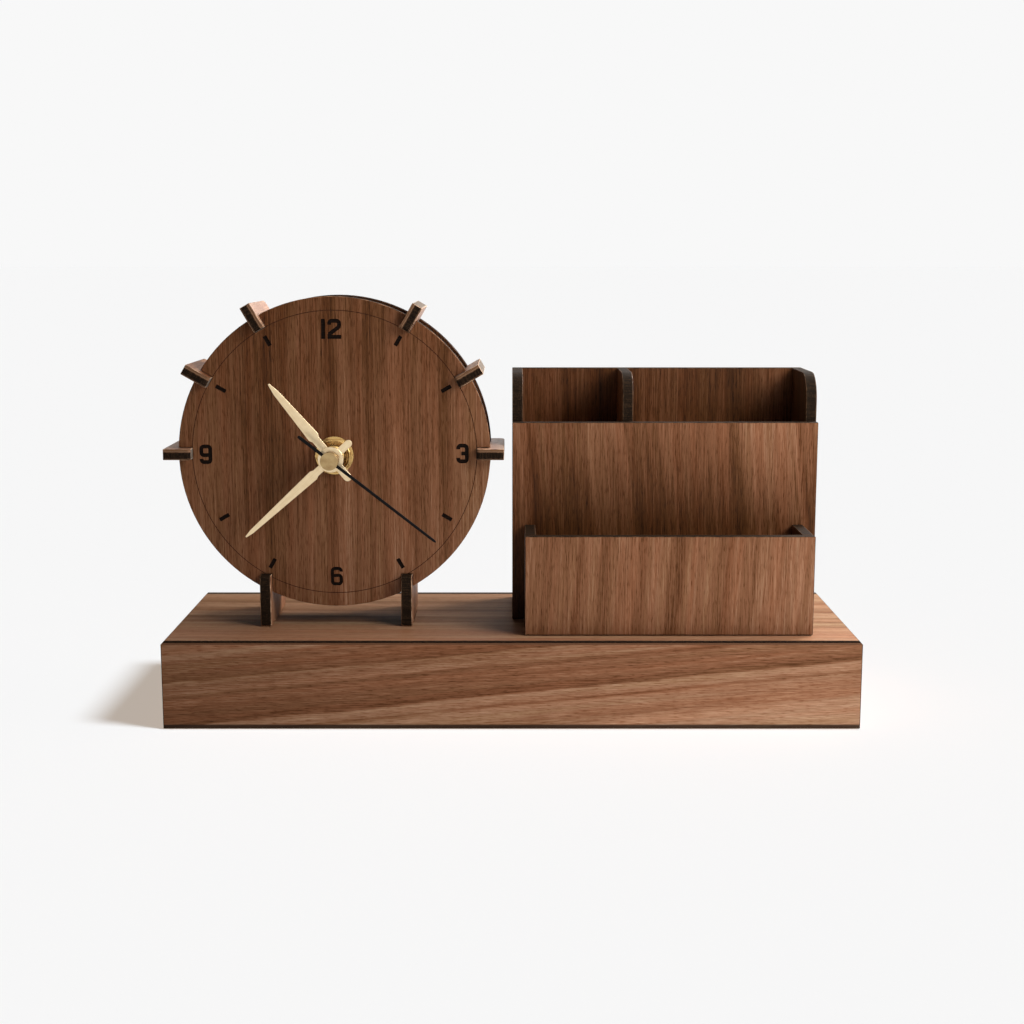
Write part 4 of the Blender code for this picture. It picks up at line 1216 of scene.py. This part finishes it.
@dataclass
class Base:
    """The low hollow base: mitred boards with charred chamfers, a recessed bottom and rubber feet."""

    top: float = 32.4
    foot_height: float = 1.3
    foot_radius: float = 4.5
    foot_round: float = 0.5
    foot_rim: float = 1.0
    foot_hollow: float = 0.15
    foot_steps: int = 32
    round_steps: int = 4

    def build(self) -> None:
        """Makes the boards and the feet."""
        # The front's near-black line along its bottom edge is painted contact shade
        front = Veneer(
            "walnut_veneer_base_front",
            BASE_FRONT_BANDS,
            slant=0.1,
            wander=0.8,
            contrast=0.75,
            tone=0.56,
            fibre=9,
            dark_line_from=30.6,
            seed=2.1,
        )
        # Behind its front strip the top turns olive as painted shade and sheen, and ends in a near-black line
        # along its back edge
        top = Veneer(
            "walnut_veneer_base_top",
            BASE_TOP_BANDS,
            slant=0.02,
            wander=1.6,
            contrast=1.3,
            tone=0.57,
            olive=0.7,
            olive_from=-30.0,
            sheen=0.025,
            fibre=26,
            dark_line_from=25.7,
            seed=5.4,
        )
        boards = (
            Board("base_front", Y, X, front, (0, 0, self.top), 0, RUBBED_CHAMFER),
            Board("base_top", Z, X, top, (40, 12, 0), 0, CHAMFER),
            Board("base_left", X, Y, zero=(0, 21, 3), arris=0, edge=CHAMFER),
            Board("base_right", X, Y, zero=(0, -35, 17), arris=0, edge=CHAMFER),
            Board("base_back", Y, X, zero=(60, 0, -24), arris=0, edge=CHAMFER),
            Board("base_bottom", Z, X, zero=(-25, 33, 0)),
        )
        for board in boards:
            board.build()
        for number in range(1, 5):
            self.foot(f"rubber_foot_{number}")

    def foot(self, node: str) -> None:
        """One stick-on rubber foot, with a rounded rim and a slight hollow underneath.

        Args:
            node: The CAD node of the foot.
        """
        low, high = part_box(node)
        centre = Vector(((low.x + high.x) / 2, (low.y + high.y) / 2, 0)) / MM
        radius, height, corner = self.foot_radius, self.foot_height, self.foot_round
        rim = radius - self.foot_rim
        profile = [(0.0, self.foot_hollow), (rim - 0.6, 0.1), (rim, 0.0)]
        profile += arc((radius - corner, corner), corner, -90, 0, self.round_steps)
        profile += [(radius, height), (0.0, height)]
        piece = spun(f"{node}_moulded", profile, centre, Axis.Z, self.foot_steps, closed=False)
        coat(piece, RUBBER)
        smooth(piece)
        stand_for(piece, node, "stand")


# The dial's leaf across the grain from its centre; the bands at its right rim are lighter as painted light
DIAL_BANDS: Bands = (
    (-57.0, 0.42), (-50.0, 0.4), (-41.0, 0.38), (-36.0, 0.28), (-27.0, 0.18), (-19.0, 0.22), (-13.0, 0.36),
    (-5.0, 0.4), (-3.6, 0.3), (-2.6, 0.14), (0.4, 0.16), (1.4, 0.4), (2.4, 0.52), (6.0, 0.52), (7.2, 0.4),
    (11.4, 0.42), (13.0, 0.32), (18.8, 0.34), (20.2, 0.52), (26.2, 0.52), (28.4, 0.44), (29.6, 0.3),
    (31.0, 0.44), (37.6, 0.42), (38.8, 0.26), (41.8, 0.28), (43.2, 0.5), (48.0, 0.54), (57.0, 0.56),
)


@dataclass
class Numerals:
    """The four numerals, as centre lines of the laser's stroke, each about its own middle."""

    height: float = 7.2
    stroke: float = 1.42
    faint_stroke: float = 1.2
    corner: float = 0.95

    @property
    def reach(self) -> float:
        """Half of the height of a centre line."""
        return (self.height - self.stroke) / 2

    def one(self) -> list[list[Pair]]:
        """A plain bar."""
        return [[(0.0, -self.height / 2), (0.0, self.height / 2)]]

    def two(self) -> list[list[Pair]]:
        """A hook at the upper left, a round shoulder, a slope down to the left, and a flat foot.

        Returns:
            Its strokes.
        """
        half, top, round_ = 1.78, self.reach, self.corner
        line = [(-half, top - round_ - 0.45)]
        line += arc((-half + round_, top - round_), round_, 180, 90)
        line += arc((half - round_, top - round_), round_, 90, 0)
        line += [(half, 1.1), (half - 0.25, 0.55), (-half + 0.15, -1.75), (-half, -2.15), (-half, -top)]
        return [line, [(-half - self.stroke / 2, -top), (half + self.stroke / 2, -top)]]

    def three(self) -> list[list[Pair]]:
        """Hooks at both left ends, one long right side, and a short middle bar.

        Returns:
            Its strokes.
        """
        half, top, round_ = 1.58, self.reach, self.corner
        line = [(-half, top - round_ - 0.35)]
        line += arc((-half + round_, top - round_), round_, 180, 90)
        line += arc((half - round_, top - round_), round_, 90, 0)
        line += arc((half - round_, -top + round_), round_, 0, -90)
        line += arc((-half + round_, -top + round_), round_, 270, 180)
        line += [(-half, -top + round_ + 0.35)]
        return [line, [(-0.45, 0.0), (half, 0.0)]]

    def six(self) -> list[list[Pair]]:
        """A short hook at the upper right, a long left side, and a closed lower bowl.

        Returns:
            Its one stroke.
        """
        half, top, round_ = 1.62, self.reach, self.corner
        middle = 0.32
        line = [(half, top - round_ - 0.25)]
        line += arc((half - round_, top - round_), round_, 0, 90)
        line += arc((-half + round_, top - round_), round_, 90, 180)
        line += arc((-half + round_, -top + round_), round_, 180, 270)
        line += arc((half - round_, -top + round_), round_, 270, 360)
        line += arc((half - round_, middle - round_), round_, 0, 90)
        line += [(-half, middle - 0.12)]
        return [line]

    def nine(self) -> list[list[Pair]]:
        """The six, turned upside down."""
        return [[(-x, -z) for x, z in line] for line in self.six()]

    def placed(self) -> list[tuple[list[Pair], float]]:
        """Every stroke of the dial's numerals, about the dial's centre, with its width.

        Returns:
            Centre lines and widths.
        """
        places = (
            (self.one(), (-3.35, 45.3), self.stroke),
            (self.two(), (0.65, 45.3), self.stroke),
            (self.three(), (46.8, -0.05), self.stroke),
            (self.six(), (0.0, -45.8), self.faint_stroke),
            (self.nine(), (-47.1, -0.35), self.stroke),
        )
        return [
            ([(x + at[0], z + at[1]) for x, z in line], width)
            for lines, at, width in places
            for line in lines
        ]


@dataclass
class ClockBody:
    """The two discs, the hour tabs that join them and the two legs that carry them."""

    dial_front: float = -15.2
    ring_radius: float = 52.0
    ring_width: float = 0.26
    ring_depth: float = 0.1
    ring_steps: int = 144
    tick_inner: float = 45.3
    tick_outer: float = 49.3
    tick_width: float = 1.45
    tick_hours: tuple[int, ...] = (1, 2, 4, 5, 7, 8, 10, 11)
    tick_corner: float = 0.12
    tab_hours: tuple[int, ...] = (1, 2, 3, 9, 10, 11)
    less_lit_tab: int = 10
    tab_arris: float = 0.15
    engraved: float = 0.3
    clearance: float = 0.6
    numerals: Numerals = field(default_factory=Numerals)

    def build(self) -> None:
        """Makes the discs, tabs and legs."""
        zero = (ClockCentre.X, 0, ClockCentre.Z)
        # The dial lightens towards its bottom by its fade, as painted light from below
        dial = Veneer(
            "walnut_veneer_dial", DIAL_BANDS, wander=0.8, contrast=0.45, tone=0.4, fade=-0.0015, seed=3.3
        )
        Board("dial_disc", Y, Z, dial, zero, corner=DULL_ARRIS).build(self.engrave)
        Board("back_disc", Y, Z, zero=(-90, 0, 51)).build(self.soot_and_painted_shadow)
        # The legs are paler as painted light on their lit sides
        for side, shift in (("left", 14), ("right", 37)):
            Board(f"{side}_leg", X, Z, LIGHT_PAINTED_LEG, (0, shift, shift), corner=ARRIS).build()
        for hour in self.tab_hours:
            angle = math.radians(HOUR_STEP * hour)
            normal = (math.cos(angle), 0, -math.sin(angle))
            # Tabs are paler as painted light, the tab at ten, which gets less light, less so
            veneer = LIGHT_PAINTED_LEG if hour == self.less_lit_tab else LIGHT_PAINTED_VENEER
            # The rubbed side of each tab's edge faces up
            edge = EDGE if hour > 6 else TURNED_EDGE
            # Each tab shows another part of the leaf
            zero = (7 * hour, 11 * hour, 0)
            Board(
                f"hour_tab_{hour}", normal, Y, veneer, zero, self.tab_arris, edge, ARRIS, HIGHLIGHT_PAINTED_END
            ).build()

    def soot_and_painted_shadow(self, disc: Object) -> None:
        """Darkens the front of the rear disc as painted shadow, for the shade in the gap behind the dial.

        Args:
            disc: The rear disc.
        """
        coat(disc, SHADOW_PAINTED_VENEER)
        for face in disc.data.polygons:
            if face.normal.y < -VENEER_FACE:
                face.material_index = len(disc.data.materials) - 1

    def engrave(self, disc: Object) -> None:
        """Cuts the ring, the ticks and the numerals into the dial's face.

        Args:
            disc: The dial.
        """
        for cutter, finish, overlapping in (
            (self.ring_cutter(), SCORING, False),
            (self.tick_cutter(), ENGRAVING, False),
            (self.numeral_cutter(), ENGRAVING, True),
        ):
            cutter.data.materials.clear()
            coat(cutter, finish)
            cut(disc, cutter, overlapping)

    def ring_cutter(self) -> Object:
        """The thin groove round the dial.

        Returns:
            The cutter.
        """
        near, far = self.dial_front - self.clearance, self.dial_front + self.ring_depth
        inner, outer = self.ring_radius - self.ring_width / 2, self.ring_radius + self.ring_width / 2
        profile = [(inner, near), (outer, near), (outer, far), (inner, far)]
        return spun("ring_cutter", profile, DIAL_CENTRE, Axis.Y, self.ring_steps)

    def tick_cutter(self) -> Object:
        """Eight bars, one drawn at twelve and copied round the dial.

        Returns:
            The cutter.
        """
        near, far = self.dial_front - self.clearance, self.dial_front + self.engraved
        middle = Vector((0, (near + far) / 2, (self.tick_inner + self.tick_outer) / 2)) * MM
        bpy.ops.object.select_all(action="DESELECT")
        bpy.ops.mesh.primitive_cube_add(size=1, location=middle)
        first = bpy.context.object
        first.scale = Vector((self.tick_width, far - near, self.tick_outer - self.tick_inner)) * MM
        bpy.ops.object.transform_apply(location=True, rotation=True, scale=True)
        in_edit_mode(first, lambda: bpy.ops.mesh.bevel(offset=self.tick_corner * MM, segments=1))
        ticks = []
        for hour in self.tick_hours:
            tick = first.copy()
            tick.data = first.data.copy()
            tick.data.transform(Matrix.Rotation(math.radians(HOUR_STEP * hour), 4, "Y"))
            tick.data.transform(Matrix.Translation(DIAL_CENTRE * MM))
            bpy.context.scene.collection.objects.link(tick)
            ticks.append(tick)
        bpy.data.objects.remove(first)
        return joined(ticks, "tick_cutter")

    def numeral_cutter(self) -> Object:
        """The strokes of the numerals, each a ribbon with a stroke's thickness."""
        return joined([self.stroke(line, width) for line, width in self.numerals.placed()], "numeral_cutter")

    def stroke(self, line: Sequence[Pair], width: float) -> Object:
        """One stroke: its centre line pulled to a ribbon and thickened.

        Args:
            line: The centre line's points about the dial's centre, in millimetres.
            width: The stroke's width.

        Returns:
            The closed solid of the stroke.
        """
        near, far = self.dial_front - self.clearance, self.dial_front + self.engraved
        points = [Vector((ClockCentre.X + x, near, ClockCentre.Z + z)) * MM for x, z in line]
        mesh = bpy.data.meshes.new("stroke")
        mesh.from_pydata(points, [(i, i + 1) for i in range(len(points) - 1)], [])
        piece = in_scene("stroke", mesh)

        def pull() -> None:
            """Merges double points and extrudes the line into the dial."""
            bpy.ops.mesh.remove_doubles(threshold=MERGE_DISTANCE)
            bpy.ops.mesh.extrude_region_move(TRANSFORM_OT_translate={"value": (0, (far - near) * MM, 0)})

        in_edit_mode(piece, pull)
        change = piece.modifiers.new("width", "SOLIDIFY")
        change.thickness = width * MM
        change.offset = 0
        change.use_even_offset = True
        apply_modifier(piece, "width")
        in_edit_mode(piece, face_outwards)
        return piece


def joined(pieces: Sequence[Object], name: str) -> Object:
    """Joins objects into one.

    Args:
        pieces: The objects.
        name: The name of the result.

    Returns:
        The joined object.
    """
    activate(pieces[0])
    for piece in pieces[1:]:
        piece.select_set(True)
    if len(pieces) > 1:
        bpy.ops.object.join()
    pieces[0].name = name
    return pieces[0]


HOLDER_FRONT_BANDS: Bands = (
    (-6.0, 0.5), (3.6, 0.5), (4.6, 0.3), (7.0, 0.3), (8.2, 0.46), (15.0, 0.44), (16.4, 0.34), (25.0, 0.34),
    (26.8, 0.46), (27.8, 0.56), (41.0, 0.52), (42.2, 0.3), (43.8, 0.32), (45.0, 0.4), (52.4, 0.38),
    (53.2, 0.28), (54.4, 0.48), (62.0, 0.46), (78.0, 0.5), (80.2, 0.34), (82.0, 0.38), (84.6, 0.56),
    (96.0, 0.66), (104.6, 0.6), (107.2, 0.36), (108.4, 0.5), (110.4, 0.36), (113.0, 0.5), (122.0, 0.5),
)

TRAY_FRONT_BANDS: Bands = (
    (-8.0, 0.5), (6.0, 0.5), (7.4, 0.34), (9.6, 0.36), (11.0, 0.52), (18.6, 0.5), (19.8, 0.34), (21.0, 0.38),
    (22.0, 0.54), (26.8, 0.52), (28.0, 0.32), (30.0, 0.36), (33.6, 0.52), (39.6, 0.52), (41.0, 0.38),
    (44.0, 0.42), (46.0, 0.56), (52.0, 0.54), (53.6, 0.24), (57.6, 0.3), (59.4, 0.56), (69.0, 0.54),
    (70.6, 0.36), (74.8, 0.4), (76.4, 0.56), (81.6, 0.56), (82.8, 0.38), (84.4, 0.58), (104.0, 0.62),
    (112.0, 0.6),
)


@dataclass
class PenHolder:
    """The tall holder with its divider, and the low card tray in front of it."""

    holder_left: float = 1.1
    holder_top: float = 106.9
    tray_left: float = 5.7
    tray_top: float = 68.7

    def build(self) -> None:
        """Makes the eight boards."""
        # The front darkens downwards by its fade, as painted shade above the tray
        front = Veneer(
            "walnut_veneer_holder_front",
            HOLDER_FRONT_BANDS,
            slant=0.1,
            contrast=0.6,
            tone=0.43,
            fade=0.0055,
            seed=7.7,
        )
        tray = Veneer(
            "walnut_veneer_tray_front", TRAY_FRONT_BANDS, slant=-0.08, contrast=0.55, tone=0.46, seed=9.2
        )
        # The back panel, the divider and the tray's sides are darker as painted shade, the holder's right
        # panel darkest as painted shadow
        boards = (
            Board("holder_front_panel", Y, Z, front, (self.holder_left, 0, self.holder_top)),
            Board("holder_back_panel", Y, Z, SHADE_PAINTED_VENEER, (-30, 0, 15)),
            Board("holder_left_panel", X, Z, zero=(0, 25, 8)),
            Board("holder_right_panel", X, Z, SHADOW_PAINTED_VENEER, (0, -41, 60)),
            Board("holder_divider", X, Z, SHADE_PAINTED_VENEER, (0, 72, -33)),
            Board("tray_front_panel", Y, Z, tray, (self.tray_left, 0, self.tray_top)),
            Board("tray_left_panel", X, Z, SHADE_PAINTED_VENEER, (0, 12, 71)),
            Board("tray_right_panel", X, Z, SHADE_PAINTED_VENEER, (0, -58, -9)),
        )
        for board in boards:
            board.build()


@dataclass
class Movement:
    """The battery movement: its case, the fixings on the dial, and the works inside."""

    bush_front: float = -23.7
    bush_rear: float = -9.1
    bush_radius: float = 3.9
    bush_bore: float = 2.59
    thread_pitch: float = 0.75
    thread_depth: float = 0.42
    bore_chamfer: float = 0.2
    nut_slope: float = 30.0
    nut_rim: float = 0.15
    nut_arris: float = 0.08
    cutter_margin: Pair = (2.0, 0.5)
    button_radius: float = 2.3
    button_height: float = 1.1
    can_radius: float = 5.4
    turned_steps: int = 48

    def build(self) -> None:
        """Makes the fixings and finishes the rest."""
        self.bush()
        self.nut()
        self.broken("brass_washer", BRASS, width=0.14)
        self.broken("rubber_washer", RUBBER, width=0.1)
        self.broken("movement_case", BLACK_ABS, width=0.22)
        self.broken("movement_back_cover", BLACK_ABS, width=0.12)
        self.broken("setting_knob", WHITE_POM, width=0.05, body="setting_knob")
        self.battery()
        finishes: dict[Finish, tuple[str, ...]] = {
            STEEL: (
                "battery_contact_positive",
                "battery_contact_negative",
                "stator",
                "coil_core",
                "quartz_crystal",
                "rotor",
                "seconds_wheel",
            ),
            BRASS: ("minute_arbor", "hour_wheel"),
            WHITE_POM: ("fifth_wheel", "third_wheel", "centre_wheel", "minute_wheel"),
            COPPER: ("coil",),
            LAMINATE: ("circuit_board",),
        }
        for finish, nodes in finishes.items():
            for node in nodes:
                dress(node, finish)

    def broken(self, node: str, finish: Finish, width: float, body: str = "stand") -> None:
        """A piece of the CAD shape with its sharp edges broken.

        Args:
            node: The CAD node.
            finish: The piece's finish.
            width: The bevel's width in millimetres.
            body: The body that it moves with.
        """
        piece = merged_copy(node, f"{node}_finished")
        bevel(piece, width, segments=2)
        coat(piece, finish)
        smooth(piece)
        stand_for(piece, node, body)

    def bush(self) -> None:
        """The threaded bush, turned with a ridge for each turn of its thread."""
        crest, root = self.bush_radius, self.bush_radius - self.thread_depth
        chamfer = self.bore_chamfer
        profile = [(self.bush_bore, self.bush_front + chamfer), (self.bush_bore + chamfer, self.bush_front)]
        reach = self.bush_front
        profile.append((root, reach))
        while reach + self.thread_pitch < self.bush_rear:
            for radius, share in ((crest, 0.45), (crest, 0.55), (root, 1.0)):
                profile.append((radius, reach + self.thread_pitch * share))
            reach += self.thread_pitch
        profile += [(root, self.bush_rear), (self.bush_bore, self.bush_rear)]
        piece = spun("threaded_bush_turned", profile, SHAFT, Axis.Y, self.turned_steps)
        coat(piece, BRASS)
        smooth(piece)
        stand_for(piece, "threaded_bush", "stand")

    def nut(self) -> None:
        """The hexagon nut, its corners chamfered by a cone at both ends."""
        low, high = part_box("hex_nut")
        front, rear = low.y / MM, high.y / MM
        narrow, wide = sorted(((high.z - low.z) / MM / 2, (high.x - low.x) / MM / 2))
        wider, beyond = self.cutter_margin
        inner, outer = narrow - self.nut_rim, wide + wider
        drop = (outer - inner) * math.tan(math.radians(self.nut_slope))
        piece = merged_copy("hex_nut", "hex_nut_chamfered")
        for end, inward in ((front, 1), (rear, -1)):
            outside = end - inward * beyond
            profile = [(inner, outside), (outer, outside), (outer, end + inward * drop), (inner, end)]
            cut(piece, spun("nut_cone", profile, SHAFT, Axis.Y, self.turned_steps))
        bevel(piece, self.nut_arris)
        piece.data.materials.clear()
        coat(piece, BRASS)
        smooth(piece)
        stand_for(piece, "hex_nut", "stand")

    def battery(self) -> None:
        """The cell: a shrunk sleeve that turns in over both steel ends, and the raised positive contact."""
        low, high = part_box("battery")
        centre = Vector((0, (low.y + high.y) / 2, (low.z + high.z) / 2)) / MM
        left, right = low.x / MM, high.x / MM
        radius = (high.z - low.z) / MM / 2
        shoulder = right - self.button_height
        button, can = self.button_radius, self.can_radius
        sleeve = [
            (radius - 1.5, left + 0.25), (radius - 1.3, left), (radius - 0.5, left), (radius, left + 0.5)
        ]
        sleeve += [(radius, shoulder - 0.6), (radius - 0.5, shoulder), (radius - 1.6, shoulder)]
        sleeve += [(radius - 1.8, shoulder - 0.25)]
        ends = [(0.0, right), (button, right), (button + 0.4, right - 0.3), (button + 0.45, shoulder - 0.15)]
        ends += [(can, shoulder - 0.25), (can, left + 0.25), (can - 2.0, left + 0.25)]
        ends += [(can - 2.3, left + 0.1), (0.0, left + 0.1)]
        parts = []
        for name, profile, finish, closed in (("sleeve", sleeve, SLEEVE, True), ("can", ends, STEEL, False)):
            part = spun(name, profile, centre, Axis.X, self.turned_steps, closed)
            coat(part, finish)
            parts.append(part)
        piece = joined(parts, "battery_sleeved")
        smooth(piece)
        stand_for(piece, "battery", "stand")


@dataclass
class Hands:
    """The three hands and the cap over their common centre."""

    hour_angle: float = 320.45
    minute_angle: float = 227.9
    second_angle: float = 128.15

    def build(self) -> None:
        """Makes the hands and the cap."""
        for body, angle in (("hour_hand", self.hour_angle), ("minute_hand", self.minute_angle)):
            self.hand(body, body, angle, HAND_METAL, width=0.14)
        self.hand(
            "second_hand", "second_hand", self.second_angle, BLACK_LACQUER, width=0.09
        )
        self.hand("second_hand_cap", "second_hand", self.second_angle, CAP_METAL, width=0.3)

    def hand(self, node: str, body: str, angle: float, finish: Finish, width: float) -> None:
        """One stamped hand with rounded edges, brushed along its length.

        Args:
            node: The CAD node.
            body: The body that it moves with.
            angle: Degrees clockwise from twelve at rest.
            finish: The hand's finish.
            width: The bevel's width in millimetres.
        """
        piece = merged_copy(node, f"{node}_finished")
        bevel(piece, width, segments=3)
        coat(piece, finish)
        smooth(piece)
        turn = math.radians(angle)
        along = Vector((math.sin(turn), 0, math.cos(turn)))
        mark_sheet(piece, Vector(Y), along, SHAFT, SHAFT)
        stand_for(piece, node, body)


def group(name: str, *members: Object) -> bpy.types.Collection:
    """A collection of the objects that a lamp lights or spares, or that shade it.

    Args:
        name: The collection's name.
        members: The objects in it.

    Returns:
        The new collection.
    """
    collection = bpy.data.collections.new(name)
    for member in members:
        collection.objects.link(member)
    return collection


@dataclass(frozen=True)
class Softbox:
    """A square lamp aimed at the object. It spares the floor, which has lamps of its own."""

    name: str
    place: Triple
    side: float
    power: float
    aim: Triple = (0.0, 0.0, 0.06)

    def hang(self, floor: Object) -> None:
        """Puts up the lamp.

        Args:
            floor: The floor that it leaves out.
        """
        lamp = bpy.data.lights.new(self.name, "AREA")
        lamp.shape = "SQUARE"
        lamp.size = self.side
        lamp.energy = self.power
        box = in_scene(self.name, lamp)
        box.location = self.place
        box.rotation_euler = (Vector(self.aim) - Vector(self.place)).to_track_quat("-Z", "Y").to_euler()
        box.visible_camera = False
        receivers = group(f"{self.name}_spares", floor)
        receivers.collection_objects[0].light_linking.link_state = "EXCLUDE"
        box.light_linking.receiver_collection = receivers


@dataclass(frozen=True)
class FloorLamp:
    """A distant lamp on the floor alone, so that the shadow there is as pale as on white paper."""

    name: str
    strength: float
    tint: Triple
    toward: Triple = (0.0, 0.0, 1.0)
    spread: float = 16.0
    blockers: tuple[str, ...] = ()

    def hang(self, floor: Object) -> None:
        """Puts up the lamp.

        Args:
            floor: The floor that it lights.
        """
        lamp = bpy.data.lights.new(self.name, "SUN")
        lamp.energy = self.strength
        lamp.color = self.tint
        lamp.angle = math.radians(self.spread)
        lamp.use_shadow = bool(self.blockers)
        sun = in_scene(self.name, lamp)
        sun.rotation_euler = Vector(self.toward).to_track_quat("Z", "Y").to_euler()
        sun.light_linking.receiver_collection = group(f"{self.name}_lights", floor)
        if self.blockers:
            shades = group(f"{self.name}_shades", *(bpy.data.objects[blocker] for blocker in self.blockers))
            sun.light_linking.blocker_collection = shades


KEY = Softbox("key_softbox", (0.4, -0.3, 0.34), 0.24, 2.5)
RIM = Softbox("rim_softbox", (0.36, 0.22, 0.28), 0.18, 3.6)
TOP = Softbox("top_softbox", (0.42, -0.06, 0.66), 0.5, 4.4)
SKY = Softbox("sky_softbox", (0.02, 0.42, 0.62), 0.6, 2.4)
BASE_SHADES = tuple(f"base_{side}_veneered" for side in ("front", "back", "left", "right", "top"))
FLOOR_KEY = FloorLamp("floor_key", 2.59, (0.88, 1.0, 1.11), (1.0, -0.36, 1.08), blockers=BASE_SHADES)
FLOOR_FILL = FloorLamp("floor_fill", 1.665, (1.0, 0.868, 0.748))


@dataclass
class Studio:
    """A pale floor and background, four softboxes for the object, two lamps for the floor, and the camera.

    Reflections of the world turn from dim to white between two values of the direction to the right or the
    front.
    """

    background: str = "#F8F8F8"
    floor_side: float = 60.0
    ambient: float = 0.02
    dim: float = 0.12
    dusk: Pair = (-0.12, 0.06)
    lamps: tuple[Softbox | FloorLamp, ...] = (KEY, RIM, TOP, SKY, FLOOR_KEY, FLOOR_FILL)
    lens: float = 55.0
    sensor: float = 36.0
    camera_place: Triple = (0.001, -0.5836, 0.16694)
    camera_pitch: float = 9.22

    def build(self) -> None:
        """Makes the floor, the world, the lamps and the camera."""
        bpy.context.scene.view_settings.view_transform = "Standard"
        floor = self.floor()
        self.world()
        for lamp in self.lamps:
            lamp.hang(floor)
        self.camera()

    def floor(self) -> Object:
        """The floor, which its own lamps light to the tone of the background.

        Returns:
            The floor.
        """
        bpy.ops.object.select_all(action="DESELECT")
        bpy.ops.mesh.primitive_plane_add(size=self.floor_side)
        floor = bpy.context.object
        floor.name = "studio_floor"
        coat(floor, PAPER)
        return floor

    def world(self) -> None:
        """White where seen directly, white at the right and front in reflections, nearly dark elsewhere."""
        world = bpy.data.worlds.new("pale_backdrop")
        bpy.context.scene.world = world
        world.use_nodes = True
        tree = world.node_tree
        ray = add(tree, "ShaderNodeLightPath").outputs
        place = add(tree, "ShaderNodeTexCoord").outputs["Generated"]
        axes = add(tree, "ShaderNodeSeparateXYZ", links={0: place}).outputs
        near = add(tree, "ShaderNodeMath", MULTIPLY, {0: axes["Y"], 1: -1}).outputs[0]
        side = add(tree, "ShaderNodeMath", {"operation": "MAXIMUM"}, {0: axes["X"], 1: near}).outputs[0]
        dark_to_white = {0: side, 1: self.dusk[0], 2: self.dusk[1], 3: self.dim, 4: 1}
        glow = add(tree, "ShaderNodeMapRange", links=dark_to_white).outputs[0]
        direct = {0: ray["Is Camera Ray"], 1: ray["Is Transmission Ray"]}
        seen = add(tree, "ShaderNodeMath", {"operation": "ADD"}, direct).outputs[0]
        mirrored = {0: ray["Is Glossy Ray"], 1: glow, 2: seen}
        seen = add(tree, "ShaderNodeMath", {**MULTIPLY_ADD, "use_clamp": True}, mirrored).outputs[0]
        strength = add(
            tree, "ShaderNodeMath", {"operation": "MAXIMUM"}, {0: seen, 1: self.ambient}
        ).outputs[0]
        feed(tree, tree.nodes["Background"], {"Color": linear(self.background), "Strength": strength})

    def camera(self) -> None:
        """The camera at the photograph's place."""
        lens = bpy.data.cameras.new("camera")
        lens.lens = self.lens
        lens.sensor_width = self.sensor
        lens.clip_start = 0.01
        eye = in_scene("camera", lens)
        eye.location = self.camera_place
        eye.rotation_euler = (math.radians(90 - self.camera_pitch), 0, 0)
        bpy.context.scene.camera = eye


def plain(corners: Iterable[Iterable[float]]) -> list[list[float]]:
    """Corners as plain lists of numbers."""
    return [[float(value) for value in corner] for corner in corners]


def main() -> None:
    """Builds every sub-assembly, then the studio."""
    logging.basicConfig(level=logging.INFO, format="%(message)s")
    for assembly in (Base(), ClockBody(), PenHolder(), Movement(), Hands(), Studio()):
        assembly.build()
        log.info("%s built", type(assembly).__name__)


if __name__ == "__main__":
    main()
